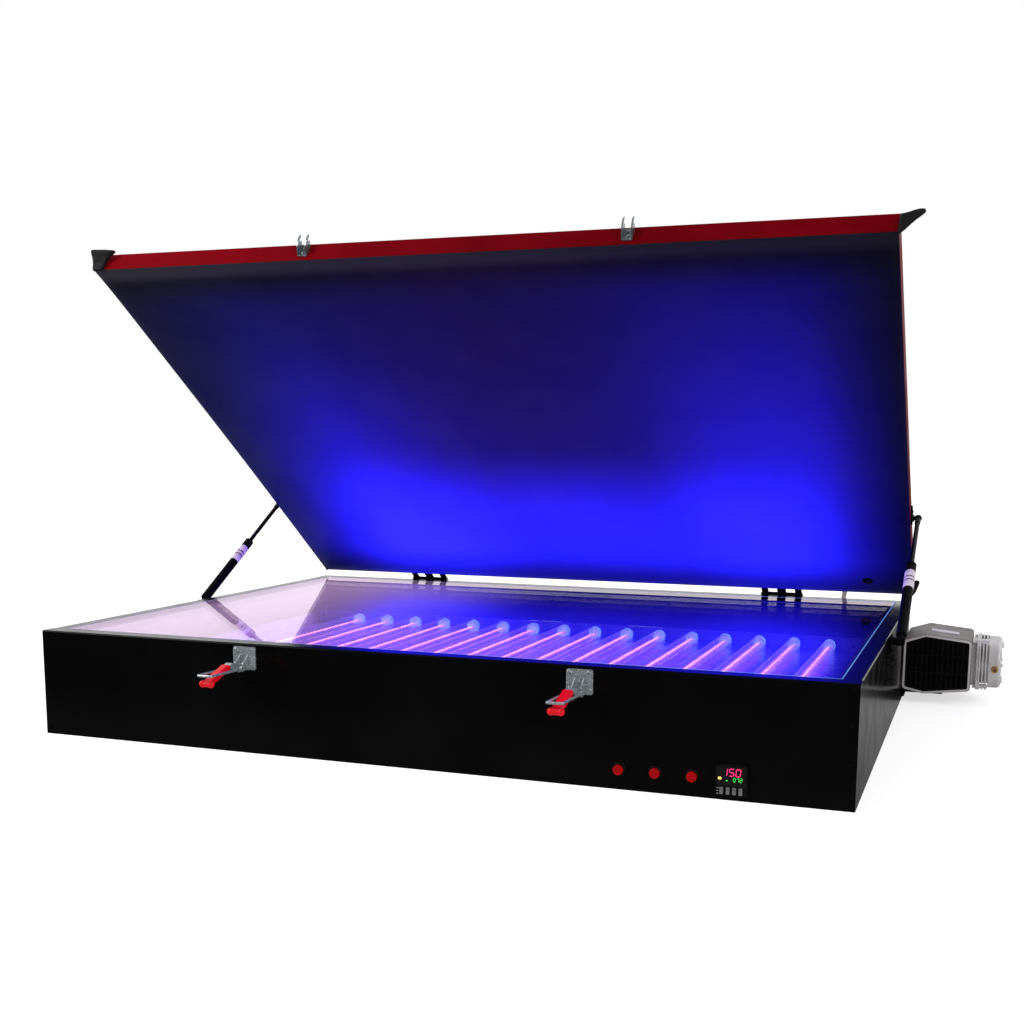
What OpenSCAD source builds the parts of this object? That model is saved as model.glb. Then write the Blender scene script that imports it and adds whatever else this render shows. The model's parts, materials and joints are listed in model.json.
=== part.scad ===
// Screen printing exposure unit: a steel cabinet of lamps under a glass plate, with a
// hinged vacuum blanket lid on gas springs, two pull latches and a vacuum pump.
// X runs to the right, Y to the rear, Z up. The origin is the middle of the underside.

/* [Cabinet] */
// Width of the cabinet
box_w = 1400; // [1300:10:1600]
// Depth of the cabinet
box_d = 1046; // [1020:2:1200]
// Height of the cabinet
box_h = 185; // [175:1:215]
// Thickness of the cabinet's sheet steel
sheet_t = 2; // [1.5:0.1:2.5]
// Width of the top flange along the front
flange_front = 30; // [26:1:40]
// Width of the top flange along each side
flange_side = 27; // [24:1:40]
// Width of the top flange along the rear
flange_rear = 37; // [30:1:45]
// Width of the ledge that carries the glass
ledge_w = 15; // [12:1:22]
// Width of the folded returns behind the front and rear panels
return_w = 20; // [17:1:26]
// Height of the turned-up edge of the bottom pan
pan_edge_h = 16; // [15:1:20]

/* [Glass] */
// Thickness of the glass plate
glass_t = 6; // [5:0.5:10]
// Gap round the glass plate
glass_gap = 1; // [0.5:0.1:2]
// Thickness of the rubber strip under the glass
gasket_t = 1.5; // [1:0.1:3]
// Width of the rubber strip under the glass
gasket_w = 12; // [8:1:14]

/* [Lamps] */
// Number of lamps
lamp_count = 16; // [8:1:17]
// Spacing of the lamps
lamp_pitch = 74.5; // [60:0.5:76]
// Sideways offset of the lamp field
lamp_shift = -17; // [-20:1:0]
// Radius of a lamp tube
lamp_r = 13; // [12:0.5:13]
// Wall of a lamp tube
lamp_wall = 0.8; // [0.6:0.1:1.2]
// Length of a lamp with its end caps
lamp_len = 895; // [800:5:905]
// Distance from the rear wall to the end of the lamps
lamp_rear_gap = 59; // [50:1:65]
// Height of the reflector above the underside
tray_z = 72; // [66:1:76]
// Thickness of the reflector sheet
tray_t = 1.5; // [1:0.1:2]
// Height of the lamp axis above the reflector
lamp_lift = 17; // [16:0.5:20]
// Length of a lamp's end cap
end_cap_len = 14; // [10:1:20]
// Thickness of a lampholder
holder_t = 12; // [10:1:16]

/* [Lid] */
// Angle at which the lid stands open
lid_open = 36.7; // [30:0.1:45]
// Overhang of the lid past each side of the cabinet
lid_overhang = 4; // [0:0.5:8]
// Height of the lid's square tube
rail_h = 38; // [34:1:42]
// Width of the lid's square tube
rail_w = 38; // [30:1:45]
// Wall of the lid's square tube
rail_wall = 2; // [1.5:0.1:3]
// Thickness of the rubber blanket
blanket_t = 3; // [2:0.1:4]
// Gap between the closed blanket and the cabinet
blanket_gap = 0.5; // [0.4:0.1:1]
// Reach of the blanket's folded corner ears
ear_reach = 30; // [20:1:40]

/* [Hinges] */
// Distance of each hinge from the middle
hinge_x = 425; // [300:5:500]
// Width of a hinge
hinge_w = 88; // [80:1:110]
// Radius of the hinge barrel
barrel_r = 6; // [5.5:0.1:7]
// Gap between the hinge barrel and the cabinet's rear face
barrel_gap = 12.5; // [8:0.5:16]
// Radius of the hinge pin
hinge_pin_r = 3; // [2.5:0.1:3.5]
// Thickness of the hinge leaves
leaf_t = 2.5; // [2:0.1:3]
// Length of a hinge leaf from the pin
leaf_len = 36; // [32:1:40]

/* [Gas springs] */
// Distance from the cabinet's rear face to the lower pivot
strut_setback = 528; // [480:1:540]
// Depth of the lower pivot below the cabinet's top
strut_drop = 12; // [11:1:30]
// Distance from the lid's rear face to the upper pivot
strut_reach = 263; // [255:1:275]
// Distance of the gas spring's axis from the lid's side face
strut_off = 13; // [13:0.5:18]
// Radius of the gas spring's cylinder
cyl_r = 9.5; // [8:0.5:10]
// Distance from the lower pivot to the cylinder's open end
cyl_len = 233; // [215:1:235]
// Radius of the gas spring's rod
rod_r = 4.5; // [3:0.5:5]
// Radius of the studs at both ends
stud_r = 4; // [3.5:0.1:4.5]

/* [Latches] */
// Distance of each latch from the middle
latch_x = 290; // [200:5:400]
// Width of the latch's base plate
latch_plate_w = 42; // [38:1:50]
// Height of the latch's base plate
latch_plate_h = 38.5; // [37:0.5:42]
// Gap between the base plate and the cabinet's top edge
latch_top_gap = 5; // [3:1:8]
// Distance of the handle's pivot from the front panel
latch_out = 14; // [13:0.5:16]
// Distance from the handle's pivot to the bail's pivot
bail_offset = 16; // [15:0.5:18]
// Droop of the open handle below level
handle_droop = 8; // [4:1:14]
// Angle of the closed handle below level
handle_closed = 85; // [80:1:88]
// Angle of the open bail above level
bail_rise = 1.4; // [0:0.1:3]
// Length of the handle with its grip
handle_len = 106; // [95:1:115]
// Radius of the bail's rod
bail_r = 2.1; // [1.8:0.1:2.3]
// Distance of each bail leg from the latch's middle
bail_half_w = 12; // [11.5:0.1:14]

/* [Controls] */
// Place of the left push button
button_x = 353; // [300:1:380]
// Spacing of the push buttons
button_pitch = 56; // [40:1:60]
// Height of the push buttons and the timer
control_z = 31; // [29:1:33]
// Radius of a push button's cap
button_r = 7.8; // [6:0.1:8.5]
// Travel of a push button
button_travel = 2.5; // [1:0.1:4]
// Place of the timer
timer_x = 524; // [510:1:560]
// Size of the timer's bezel
timer_size = 48; // [44:1:50]
// Depth of the timer behind the panel
timer_depth = 78; // [60:1:100]

/* [Pump] */
// Distance from the cabinet's side to the pump
pump_gap = 2; // [1:0.5:8]
// Distance from the pump's front to the cabinet's rear face
pump_overlap = 193; // [180:1:220]
// Depth of the pump's front shell
pump_front_len = 140; // [126:1:160]
// Depth of the pump's rear shell
pump_rear_len = 46; // [30:1:60]
// Thickness of the seal between the pump's shells
pump_seal_t = 3; // [2:0.5:5]
// Height of the pump's underside
pump_z = 21; // [17:0.5:30]
// Radius of the pump's round head cover
head_r = 52; // [45:1:56]

/* [Hidden] */
$fn = 64;

// Running clearance round a pin, gap between moving faces, and a cutter's overrun
fit = 0.05;
clear = 0.4;
over = 1;

front_y = -box_d / 2;
rear_y = box_d / 2;
side_x = box_w / 2;
bend_r = sheet_t + 1;
ledge_z = box_h - glass_t - gasket_t;

// Cabinet screws
screw_r = 2;
screw_head_r = 3.6;
screw_head_h = 2.2;
screw_len = 8;
screw_inset = 9;
screw_rows = 4;
screw_low = 13;

// Hinge axis, and the lid's underside when it is closed
axis_y = rear_y + barrel_gap + barrel_r;
axis_z = box_h + blanket_gap - 1.5;
lid_z = box_h + blanket_gap + blanket_t;
lid_x = side_x + lid_overhang;

// Gas spring pivots, with the upper one at its open and its closed place
strut_x = lid_x + strut_off;
strut_low = [rear_y - strut_setback, box_h - strut_drop];
strut_closed = [rear_y - strut_reach, lid_z + rail_h / 2];
function turned(p, a) = [p[0] * cos(a) - p[1] * sin(a), p[0] * sin(a) + p[1] * cos(a)];
strut_high = [axis_y, axis_z] + turned(strut_closed - [axis_y, axis_z], -lid_open);
strut_span = norm(strut_high - strut_low);
strut_angle = atan2(strut_high[1] - strut_low[1], strut_high[0] - strut_low[0]);
strut_plate_t = 3;
rail_r = rail_wall + 1.5;
eye_w = 10;
socket_len = 18;
cyl_bore_r = cyl_r - 1.8;
gland_len = 12;

// Latch pivots, measured from the front panel
latch_z = box_h - latch_top_gap - latch_plate_h;
handle_pivot = [-latch_out, latch_z + 8.5];
keeper_seat = [-10, lid_z + 36];
function heading(a) = [-cos(a), -sin(a)];
bail_pivot = handle_pivot + bail_offset * heading(handle_droop);
bail_pivot_closed = handle_pivot + bail_offset * heading(handle_closed);
bail_len = norm(keeper_seat - bail_pivot_closed);
latch_plate_t = 2;
cheek_x = 6.5;
cheek_t = 1.5;
arm_x = 6.2;
arm_t = 2;
rivet_r = 2.5;
grip_start = 42;
grip_w = 17.6;
grip_h = 10;
tang_h = 4.5;
grip_end = handle_len - 9;
grip_tilt = 10;
grip_bar_y = grip_end + 3;
arm_gap = 0.6;
grip_root = [grip_bar_y, 0] - (grip_bar_y - grip_start) * [cos(grip_tilt), sin(grip_tilt)];

// Lamps
lamp_y1 = rear_y - sheet_t - lamp_rear_gap;
lamp_y0 = lamp_y1 - lamp_len;
lamp_z = tray_z + lamp_lift;
function lamp_place(i) = lamp_shift + (i - (lamp_count - 1) / 2) * lamp_pitch;

// Controls
bezel_r = button_r + 3;
bezel_t = 2.5;
barrel_out_r = button_r + 1.6;
cap_proud = 5;
cap_len = 16;
pocket_len = cap_len - cap_proud + button_travel + clear;
barrel_len = pocket_len + 12;
window_t = 1.2;
timer_proud = 6;
timer_body = timer_size - 3;
rocker_w = 5.2;
rocker_h = 10.4;
rocker_pitch = 9.4;
rocker_z = control_z - 15.5;
rocker_pin_r = 0.8;
rocker_axis_y = front_y - timer_proud + 2;

// Pump
pump_x = side_x + pump_gap;
pump_y = rear_y - pump_overlap;
pump_w = 130;
pump_h = 121;
pump_cut = 42;
rim_inset = 1.5;
rim_len = 6;
rim_w = 3.5;
grille_t = 3;
seal_y = pump_y + rim_len + pump_front_len;
head_y = pump_y + 68;
head_z = pump_z + 63;
head_x = pump_x + pump_w;
neck_len = 14;
fin_t = 2.5;
fin_pitch = 6;
fin_count = 3;
cover_x = head_x + neck_len + fin_count * fin_pitch;
cover_t = 24;
fitting_x = cover_x + cover_t / 2;
shelf_t = 3;
shelf_z = pump_z - 8;
shelf_y = [pump_y + 74, seal_y - 6];
foot_r = 8;
hose_r = 5;

// Power inlet, between the hinges on the rear panel
inlet_x = 300;
inlet_z = 45;
inlet_w = 28;
inlet_h = 20;
inlet_depth = 18;

// Helpers
module mirrored_x() {
    children();
    mirror([1, 0, 0]) children();
}
module for_side(side) {
    if (side > 0) children();
    else mirror([1, 0, 0]) children();
}
// An outline in Y and Z, drawn out along X about the middle
module along_x(len) {
    translate([-len / 2, 0, 0]) rotate([90, 0, 90]) linear_extrude(len) children();
}
// An outline in X and Z, drawn out towards the rear
module along_y(len) {
    translate([0, len, 0]) rotate([90, 0, 0]) linear_extrude(len) children();
}
module rod_x(r, len) {
    translate([-len / 2, 0, 0]) rotate([0, 90, 0]) cylinder(r = r, h = len);
}
module rod_y(r, len) {
    rotate([-90, 0, 0]) cylinder(r = r, h = len);
}
// A closed lid's coordinates turned to the open lid
module lid_pose() {
    translate([0, axis_y, axis_z]) rotate([-lid_open, 0, 0])
        translate([0, -axis_y, -axis_z]) children();
}
function unit(v) = v / norm(v);
// The points of an arc that rounds corner b between a and c
function corner(a, b, c, r, n) = let (
    u = unit(a - b), v = unit(c - b), half = acos(u * v) / 2,
    m = b + unit(u + v) * r / sin(half),
    s = b + u * r / tan(half) - m, e = b + v * r / tan(half) - m,
    turn = 180 - 2 * half)
    [for (i = [0:n]) m + (s * sin(turn * (1 - i / n)) + e * sin(turn * i / n)) / sin(turn)];
function rounded(pts, r, n = 4) = let (k = len(pts))
    [for (i = [0:k - 1]) each corner(pts[(i + k - 1) % k], pts[i], pts[(i + 1) % k], r, n)];
function rect(w, h) = [[-w / 2, -h / 2], [w / 2, -h / 2], [w / 2, h / 2], [-w / 2, h / 2]];
module block_range(x0, x1, y0, y1, z0, z1) {
    translate([x0, y0, z0]) cube([x1 - x0, y1 - y0, z1 - z0]);
}

// Cabinet panels: wall and top flange, and the step and ledge that carry the glass
module wall_outline(flange) {
    inner = [sheet_t, box_h - sheet_t];
    polygon(concat([[0, 0], [sheet_t, 0]],
        corner([sheet_t, 0], inner, [flange, inner[1]], bend_r - sheet_t, 3),
        [[flange, inner[1]], [flange, box_h]],
        corner([flange, box_h], [0, box_h], [0, 0], bend_r, 5)));
}
module step_outline(flange) {
    translate([flange - sheet_t, ledge_z - sheet_t])
        square([sheet_t, box_h - ledge_z]);
}
module ledge_outline(flange) {
    translate([flange, ledge_z - sheet_t]) square([ledge_w, sheet_t]);
}
module cross_panel(flange) {
    along_x(box_w) wall_outline(flange);
    along_x(box_w - 2 * flange_side) {
        step_outline(flange);
        ledge_outline(flange);
    }
}
function screw_z(i) = screw_low + i * (box_h - 2 * screw_low + 4) / (screw_rows - 1);
module screw_places() {
    mirrored_x() for (i = [0:screw_rows - 1])
        translate([side_x - screw_inset, 0, screw_z(i)]) children();
}
module latch_holes() {
    for (s = [-1, 1]) translate([s * latch_x, 0, 0]) latch_screws()
        translate([0, -over, 0]) rod_y(screw_r + fit, sheet_t + 2 * over);
}
module latch_screws() {
    for (sx = [-1, 1], z = [latch_z + 6.5, latch_z + latch_plate_h - 6.5])
        translate([sx * (latch_plate_w / 2 - 6), 0, z]) children();
}
module front_panel() {
    color([0.02, 0.02, 0.022]) translate([0, front_y, 0]) difference() {
        cross_panel(flange_front);
        screw_places() translate([0, -over, 0]) rod_y(screw_r + fit, sheet_t + 2 * over);
        latch_holes();
        for (i = [0:2]) translate([button_x + i * button_pitch, -over, control_z])
            rod_y(barrel_out_r + fit, sheet_t + 2 * over);
        translate([timer_x, -over, control_z]) along_y(sheet_t + 2 * over)
            square(timer_body + 2 * fit, center = true);
    }
}
module rear_panel() {
    vents = 9;
    color([0.02, 0.02, 0.022]) translate([0, rear_y, 0]) difference() {
        mirror([0, 1, 0]) cross_panel(flange_rear);
        mirror([0, 1, 0]) screw_places()
            translate([0, -over, 0]) rod_y(screw_r + fit, sheet_t + 2 * over);
        hinge_bolts() translate([0, -sheet_t - over, 0])
            rod_y(screw_r + fit, sheet_t + 2 * over);
        translate([inlet_x, -sheet_t - over, inlet_z]) along_y(sheet_t + 2 * over)
            square([inlet_w + 2 * fit, inlet_h + 2 * fit], center = true);
        mirrored_x() for (i = [0:vents - 1])
            block_range(80, 160, -sheet_t - over, over, 24 + i * 9, 27.4 + i * 9);
    }
}
module side_panel() {
    inner_front = front_y + flange_front;
    inner_rear = rear_y - flange_rear;
    // The wall between the front and rear walls, under their flanges at the ends
    block_range(side_x - sheet_t, side_x, front_y + sheet_t, rear_y - sheet_t, 0,
        box_h - sheet_t);
    translate([side_x, (inner_front + inner_rear) / 2, 0]) rotate([0, 0, 90])
        along_x(inner_rear - inner_front) {
            wall_outline(flange_side);
            step_outline(flange_side);
        }
    translate([side_x, (inner_front + inner_rear) / 2, 0]) rotate([0, 0, 90])
        along_x(inner_rear - inner_front - 2 * ledge_w) ledge_outline(flange_side);
    // Folded returns behind the front and rear walls
    difference() {
        union() {
            block_range(side_x - return_w, side_x - sheet_t, front_y + sheet_t,
                front_y + 2 * sheet_t, pan_edge_h + over, box_h - sheet_t);
            block_range(side_x - return_w, side_x - sheet_t, rear_y - 2 * sheet_t,
                rear_y - sheet_t, pan_edge_h + over, box_h - sheet_t);
        }
        for (i = [0:screw_rows - 1])
            translate([side_x - screw_inset, front_y, screw_z(i)])
                rod_y(screw_r + fit, box_d);
    }
}
module side_panel_left() {
    color([0.05, 0.045, 0.045]) mirror([1, 0, 0]) side_panel();
}
module side_panel_right() {
    color([0.05, 0.045, 0.045]) side_panel();
}
module bottom_pan() {
    x = side_x - sheet_t;
    y = rear_y - sheet_t;
    color([0.05, 0.05, 0.05]) difference() {
        block_range(-x, x, -y, y, 0, pan_edge_h);
        block_range(sheet_t - x, x - sheet_t, sheet_t - y, y - sheet_t, sheet_t,
            pan_edge_h + over);
        // Notch round the timer's body
        translate([timer_x, -y - over, control_z]) along_y(sheet_t + 2 * over)
            square(timer_body + 2 * clear, center = true);
        screw_places() {
            translate([0, -y - over, 0]) rod_y(screw_r + fit, sheet_t + 2 * over);
            translate([0, y - sheet_t - over, 0]) rod_y(screw_r + fit, sheet_t + 2 * over);
        }
    }
}
module button_head(r, h) {
    rotate_extrude() polygon(concat([[0, 0], [r, 0]],
        [for (i = [0:5]) [r * cos(i * 15), h * 0.4 + h * 0.6 * sin(i * 15)]], [[0, h]]));
}
module socket_head(r, h) {
    difference() {
        button_head(r, h);
        translate([0, 0, h * 0.4]) cylinder(r = r * 0.45, h = h, $fn = 6);
    }
}
module panel_screws() {
    color([0.1, 0.1, 0.1]) for (f = [0, 1]) mirror([0, f, 0]) screw_places()
        translate([0, front_y, 0]) {
            rotate([90, 0, 0]) button_head(screw_head_r, screw_head_h);
            rod_y(screw_r, screw_len);
        }
}

// Glass and the rubber strip on the ledge
glass_x = side_x - flange_side - glass_gap;
glass_y0 = front_y + flange_front + glass_gap;
glass_y1 = rear_y - flange_rear - glass_gap;
module glass_gasket() {
    color([0.03, 0.03, 0.035]) difference() {
        block_range(-glass_x, glass_x, glass_y0, glass_y1, ledge_z, ledge_z + gasket_t);
        block_range(gasket_w - glass_x, glass_x - gasket_w, glass_y0 + gasket_w,
            glass_y1 - gasket_w, ledge_z - over, ledge_z + gasket_t + over);
    }
}
module glass_plate() {
    color([0.6, 0.75, 0.85, 0.35])
        translate([0, (glass_y0 + glass_y1) / 2, box_h - glass_t])
            linear_extrude(glass_t)
                polygon(rounded(rect(2 * glass_x, glass_y1 - glass_y0), 3));
}

// Reflector with turned-up edges, on two folded legs
module reflector_tray() {
    x = side_x - sheet_t;
    y = rear_y - screw_len - clear;
    lip = 28;
    leg_x = 0.46 * side_x;
    color([0.75, 0.76, 0.8]) {
        difference() {
            block_range(-x, x, -y, y, tray_z - tray_t, tray_z + lip);
            block_range(tray_t - x, x - tray_t, tray_t - y, y - tray_t, tray_z,
                tray_z + lip + over);
        }
        mirrored_x() {
            block_range(leg_x, leg_x + tray_t, -y + 60, y - 60, sheet_t, tray_z - tray_t);
            block_range(leg_x, leg_x + 18, -y + 60, y - 60, sheet_t, sheet_t + tray_t);
        }
    }
}

// Lamps: clear tubes with end caps and two pins each, and the holders on the tray
module each_lamp() {
    for (i = [0:lamp_count - 1]) translate([lamp_place(i), 0, 0]) children();
}
module lampholders() {
    w = 21;
    color([0.92, 0.92, 0.9]) each_lamp() for (y = [lamp_y0 - holder_t, lamp_y1])
        translate([0, y, 0]) difference() {
            union() {
                translate([0, 0, lamp_z]) rod_y(w / 2, holder_t);
                block_range(-w / 2, w / 2, 0, holder_t, tray_z, lamp_z);
                block_range(-w / 2 - 2, w / 2 + 2, 0, holder_t, tray_z, tray_z + 3);
            }
            for (sx = [-1, 1]) translate([sx * 6.35, -over, lamp_z])
                rod_y(1.2 + fit, holder_t + 2 * over);
        }
}
module lamp_tubes() {
    color([0.85, 0.8, 1, 0.4]) each_lamp()
        translate([0, lamp_y0 + end_cap_len, lamp_z]) difference() {
            rod_y(lamp_r, lamp_len - 2 * end_cap_len);
            translate([0, -over, 0])
                rod_y(lamp_r - lamp_wall, lamp_len - 2 * end_cap_len + 2 * over);
        }
}
module tube_caps() {
    color([0.95, 0.95, 0.97]) each_lamp() for (f = [0, 1])
        translate([0, f * (lamp_y0 + lamp_y1), lamp_z]) mirror([0, f, 0])
            translate([0, lamp_y0, 0]) {
                rod_y(lamp_r, end_cap_len);
                for (sx = [-1, 1]) translate([sx * 6.35, -8, 0]) rod_y(1.2, 9);
            }
}
module led_strips() {
    pcb_w = 14;
    color([1, 0.75, 0.95]) each_lamp() block_range(-pcb_w / 2, pcb_w / 2,
        lamp_y0 + end_cap_len, lamp_y1 - end_cap_len, lamp_z - 3.5, lamp_z - 2);
}
module led_drivers() {
    size = [62, 200, 36];
    lug = [8, 16, 2];
    gap = 60;
    color([0.7, 0.7, 0.72]) for (x = [-0.2 * side_x, 0.12 * side_x])
        translate([x, rear_y - gap - size[1], sheet_t]) {
            cube(size);
            block_range(lug[0], size[0] - lug[0], -lug[1], size[1] + lug[1], 0, lug[2]);
        }
}

// Push buttons: bezel with its barrel and nut, and the sprung cap
module button_bezels() {
    color([0.03, 0.03, 0.03]) for (i = [0:2])
        translate([button_x + i * button_pitch, front_y, control_z]) difference() {
            union() {
                rotate([90, 0, 0]) rotate_extrude() polygon([[0, 0], [bezel_r, 0],
                    [bezel_r, bezel_t - 1], [bezel_r - 1, bezel_t], [0, bezel_t]]);
                rod_y(barrel_out_r, barrel_len);
                translate([0, sheet_t, 0]) rotate([-90, 0, 0])
                    cylinder(r = barrel_out_r + 3, h = 4, $fn = 6);
            }
            translate([0, -bezel_t - over, 0])
                rod_y(button_r + 2 * fit, pocket_len + over);
        }
}
module button_cap(i) {
    len = cap_len;
    color([0.78, 0.02, 0.04])
        translate([button_x + i * button_pitch, front_y - bezel_t - cap_proud + len, control_z])
            rotate([90, 0, 0]) rotate_extrude() polygon(concat([[0, 0], [button_r, 0]],
                [for (k = [0:6]) [button_r - 1.2 + 1.2 * cos(k * 12),
                    len - 1.5 + 1.2 * sin(k * 12)]],
                [[button_r * 0.5, len - 0.1], [0, len]]));
}
module button_left() {
    button_cap(0);
}
module button_middle() {
    button_cap(1);
}
module button_right() {
    button_cap(2);
}

// Timer: bezel and body, display window, and four rocker keys
function rocker_x(i) = timer_x + (i - 2.5) * rocker_pitch;
module timer_case() {
    pocket = 4.5;
    color([0.04, 0.04, 0.045]) difference() {
        union() {
            translate([timer_x, front_y - timer_proud, control_z]) along_y(timer_proud)
                polygon(rounded(rect(timer_size, timer_size), 2.5));
            translate([timer_x, front_y, control_z]) along_y(timer_depth)
                square(timer_body, center = true);
        }
        translate([timer_x, front_y - timer_proud - over, control_z + 6])
            along_y(window_t + over) polygon(rounded(rect(timer_size - 6, 29), 1));
        for (i = [1:4]) {
            block_range(rocker_x(i) - rocker_w / 2 - clear, rocker_x(i) + rocker_w / 2 + clear,
                front_y - timer_proud - over, front_y - timer_proud + pocket,
                rocker_z - rocker_h / 2 - 0.6, rocker_z + rocker_h / 2 + 0.6);
            translate([rocker_x(i), rocker_axis_y, rocker_z])
                rod_x(rocker_pin_r + fit, rocker_w + 2.6);
        }
    }
}
module timer_window() {
    color([0.01, 0.01, 0.015])
        translate([timer_x, front_y - timer_proud, control_z + 6])
            along_y(window_t) polygon(rounded(rect(timer_size - 6 - 2 * fit, 29 - 2 * fit), 1));
}
module timer_rocker(i) {
    half = rocker_h / 2;
    color([0.45, 0.45, 0.47]) translate([rocker_x(i), rocker_axis_y, rocker_z]) {
        along_x(rocker_w) polygon([[-3.4, half], [-3.4, half - 1.2], [-2.5, 0],
            [-3.4, 1.2 - half], [-3.4, -half], [-1, -half], [1.2, -1.6], [1.2, 1.6],
            [-1, half]]);
        rod_x(rocker_pin_r, rocker_w + 2);
    }
}
module timer_rocker_1() {
    timer_rocker(1);
}
module timer_rocker_2() {
    timer_rocker(2);
}
module timer_rocker_3() {
    timer_rocker(3);
}
module timer_rocker_4() {
    timer_rocker(4);
}

// Appliance inlet on the rear panel, a socket with three blades
module power_inlet() {
    color([0.05, 0.05, 0.05]) translate([inlet_x, rear_y, inlet_z]) {
        difference() {
            union() {
                along_y(3) polygon(rounded(rect(inlet_w + 22, inlet_h + 8), 4));
                translate([0, -inlet_depth, 0]) along_y(inlet_depth)
                    square([inlet_w, inlet_h], center = true);
            }
            translate([0, 2 - inlet_depth, 0]) along_y(inlet_depth + over + 3)
                polygon([[-12.5, -8.5], [12.5, -8.5], [12.5, 3.5], [7.5, 8.5], [-7.5, 8.5],
                    [-12.5, 3.5]]);
        }
        for (p = [[-7, -1.5], [0, 2.5], [7, -1.5]]) translate([p[0], 2 - inlet_depth, p[1]])
            along_y(10) square([1.8, 4.2], center = true);
        for (sx = [-1, 1]) translate([sx * (inlet_w / 2 + 6.5), 3, 0])
            rotate([-90, 0, 0]) button_head(3, 1.6);
    }
}

// Latches: flanged base, handle with grip, and the bail that hooks the keeper
module latch_base() {
    color([0.72, 0.72, 0.74]) {
        translate([0, -latch_plate_t, latch_z + latch_plate_h / 2]) along_y(latch_plate_t)
            polygon(rounded(rect(latch_plate_w, latch_plate_h), 3));
        latch_screws() {
            translate([0, -latch_plate_t, 0]) rotate([90, 0, 0]) socket_head(4.4, 2.4);
            rod_y(screw_r, screw_len);
        }
        for (sx = [-1, 1]) translate([sx * (cheek_x + cheek_t / 2), 0, 0]) along_x(cheek_t) {
            translate(handle_pivot) circle(r = 8);
            polygon([[-over, handle_pivot[1] - 8], [handle_pivot[0], handle_pivot[1] - 8],
                [handle_pivot[0], handle_pivot[1] + 8], [-over, handle_pivot[1] + 18]]);
        }
        translate([0, handle_pivot[0], handle_pivot[1]]) {
            rod_x(rivet_r, 2 * (cheek_x + cheek_t) + 2);
            for (sx = [-1, 1]) translate([sx * (cheek_x + cheek_t + 0.5), 0, 0])
                rod_x(4, 1);
        }
    }
}
module at_latch(side) {
    translate([side * latch_x, front_y, 0]) children();
}
module latch_bases() {
    for (s = [-1, 1]) at_latch(s) latch_base();
}
// The handle's own frame: origin at its pivot, Y towards the grip
module handle_frame() {
    translate([0, handle_pivot[0], handle_pivot[1]]) rotate([180 + handle_droop, 0, 0])
        children();
}
// The grip slopes from the raised ends of the handle's arms to its cross bar
module grip_frame() {
    translate([0, grip_bar_y, 0]) rotate([grip_tilt, 0, 0])
        translate([0, -grip_bar_y, 0]) children();
}
module tang() {
    grip_frame() {
        block_range(arm_t / 2 - arm_x, arm_x - arm_t / 2, grip_start - 4, grip_end + 2,
            -tang_h / 2, tang_h / 2);
        translate([0, grip_bar_y, 0]) rod_x(2.2, 14);
    }
}
module latch_handle() {
    color([0.7, 0.7, 0.72]) handle_frame() {
        for (sx = [-1, 1]) translate([sx * (arm_x - arm_t / 2), 0, 0]) along_x(arm_t)
            difference() {
                union() {
                    circle(r = 6);
                    polygon(concat([[0, -6], [bail_offset - 4, -7]],
                        [for (d = [[-12, -4.2], [-arm_gap, -tang_h / 2],
                            [-arm_gap, tang_h / 2], [-9, 4.2]]) grip_root + d],
                        [[bail_offset, 6.5], [0, 6]]));
                }
                circle(r = rivet_r + fit);
                translate([bail_offset, 0]) circle(r = rivet_r + fit);
            }
        along_x(2 * arm_x - arm_t) polygon([for (d = [[-12, -4.2],
            [-arm_gap, -tang_h / 2], [-arm_gap, 2 - tang_h / 2], [-12, -2.2]])
                grip_root + d]);
        tang();
    }
}
// The grip's cross bar, a turned shape with a bulb at each end
module grip_bar() {
    bulb = [for (t = [0:15:120]) [5.8 * sin(t), 7.5 + 5.8 * cos(t)]];
    rotate([0, 90, 0]) rotate_extrude() polygon(concat(bulb,
        [for (i = [len(bulb) - 1:-1:0]) [bulb[i][0], -bulb[i][1]]]));
}
module latch_grip() {
    color([0.85, 0.02, 0.04]) handle_frame() difference() {
        grip_frame() {
            translate([0, grip_start, 0]) along_y(grip_end - grip_start + 2)
                polygon(rounded(rect(grip_w, grip_h), 4.4));
            translate([0, grip_bar_y, 0]) grip_bar();
        }
        tang();
    }
}
// The bail's own frame: origin at its pivot, Y towards the hook bar
module bail_frame() {
    translate([0, bail_pivot[0], bail_pivot[1]]) rotate([180 - bail_rise, 0, 0])
        children();
}
module latch_bail() {
    bend = 3;
    color([0.8, 0.8, 0.82]) bail_frame() {
        rod_x(rivet_r, 2 * bail_half_w);
        mirrored_x() {
            translate([bail_half_w, 0, 0]) {
                rod_x(4.4, 2 * bail_r);
                translate([0, -9, 0]) rod_y(bail_r, bail_len - bend + 9);
                for (y = [4.5, -7.7]) translate([0, y, 0]) rotate([-90, 0, 0])
                    cylinder(r = 3.4, h = 3.2, $fn = 6);
            }
            translate([bail_half_w - bend, bail_len - bend, 0])
                rotate_extrude(angle = 90) translate([bend, 0]) circle(r = bail_r);
        }
        translate([0, bail_len, 0]) rod_x(bail_r, 2 * (bail_half_w - bend));
    }
}
module latch_handle_left() {
    at_latch(-1) latch_handle();
}
module latch_handle_right() {
    at_latch(1) latch_handle();
}
module latch_grip_left() {
    at_latch(-1) latch_grip();
}
module latch_grip_right() {
    at_latch(1) latch_grip();
}
module latch_bail_left() {
    at_latch(-1) latch_bail();
}
module latch_bail_right() {
    at_latch(1) latch_bail();
}
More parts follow.
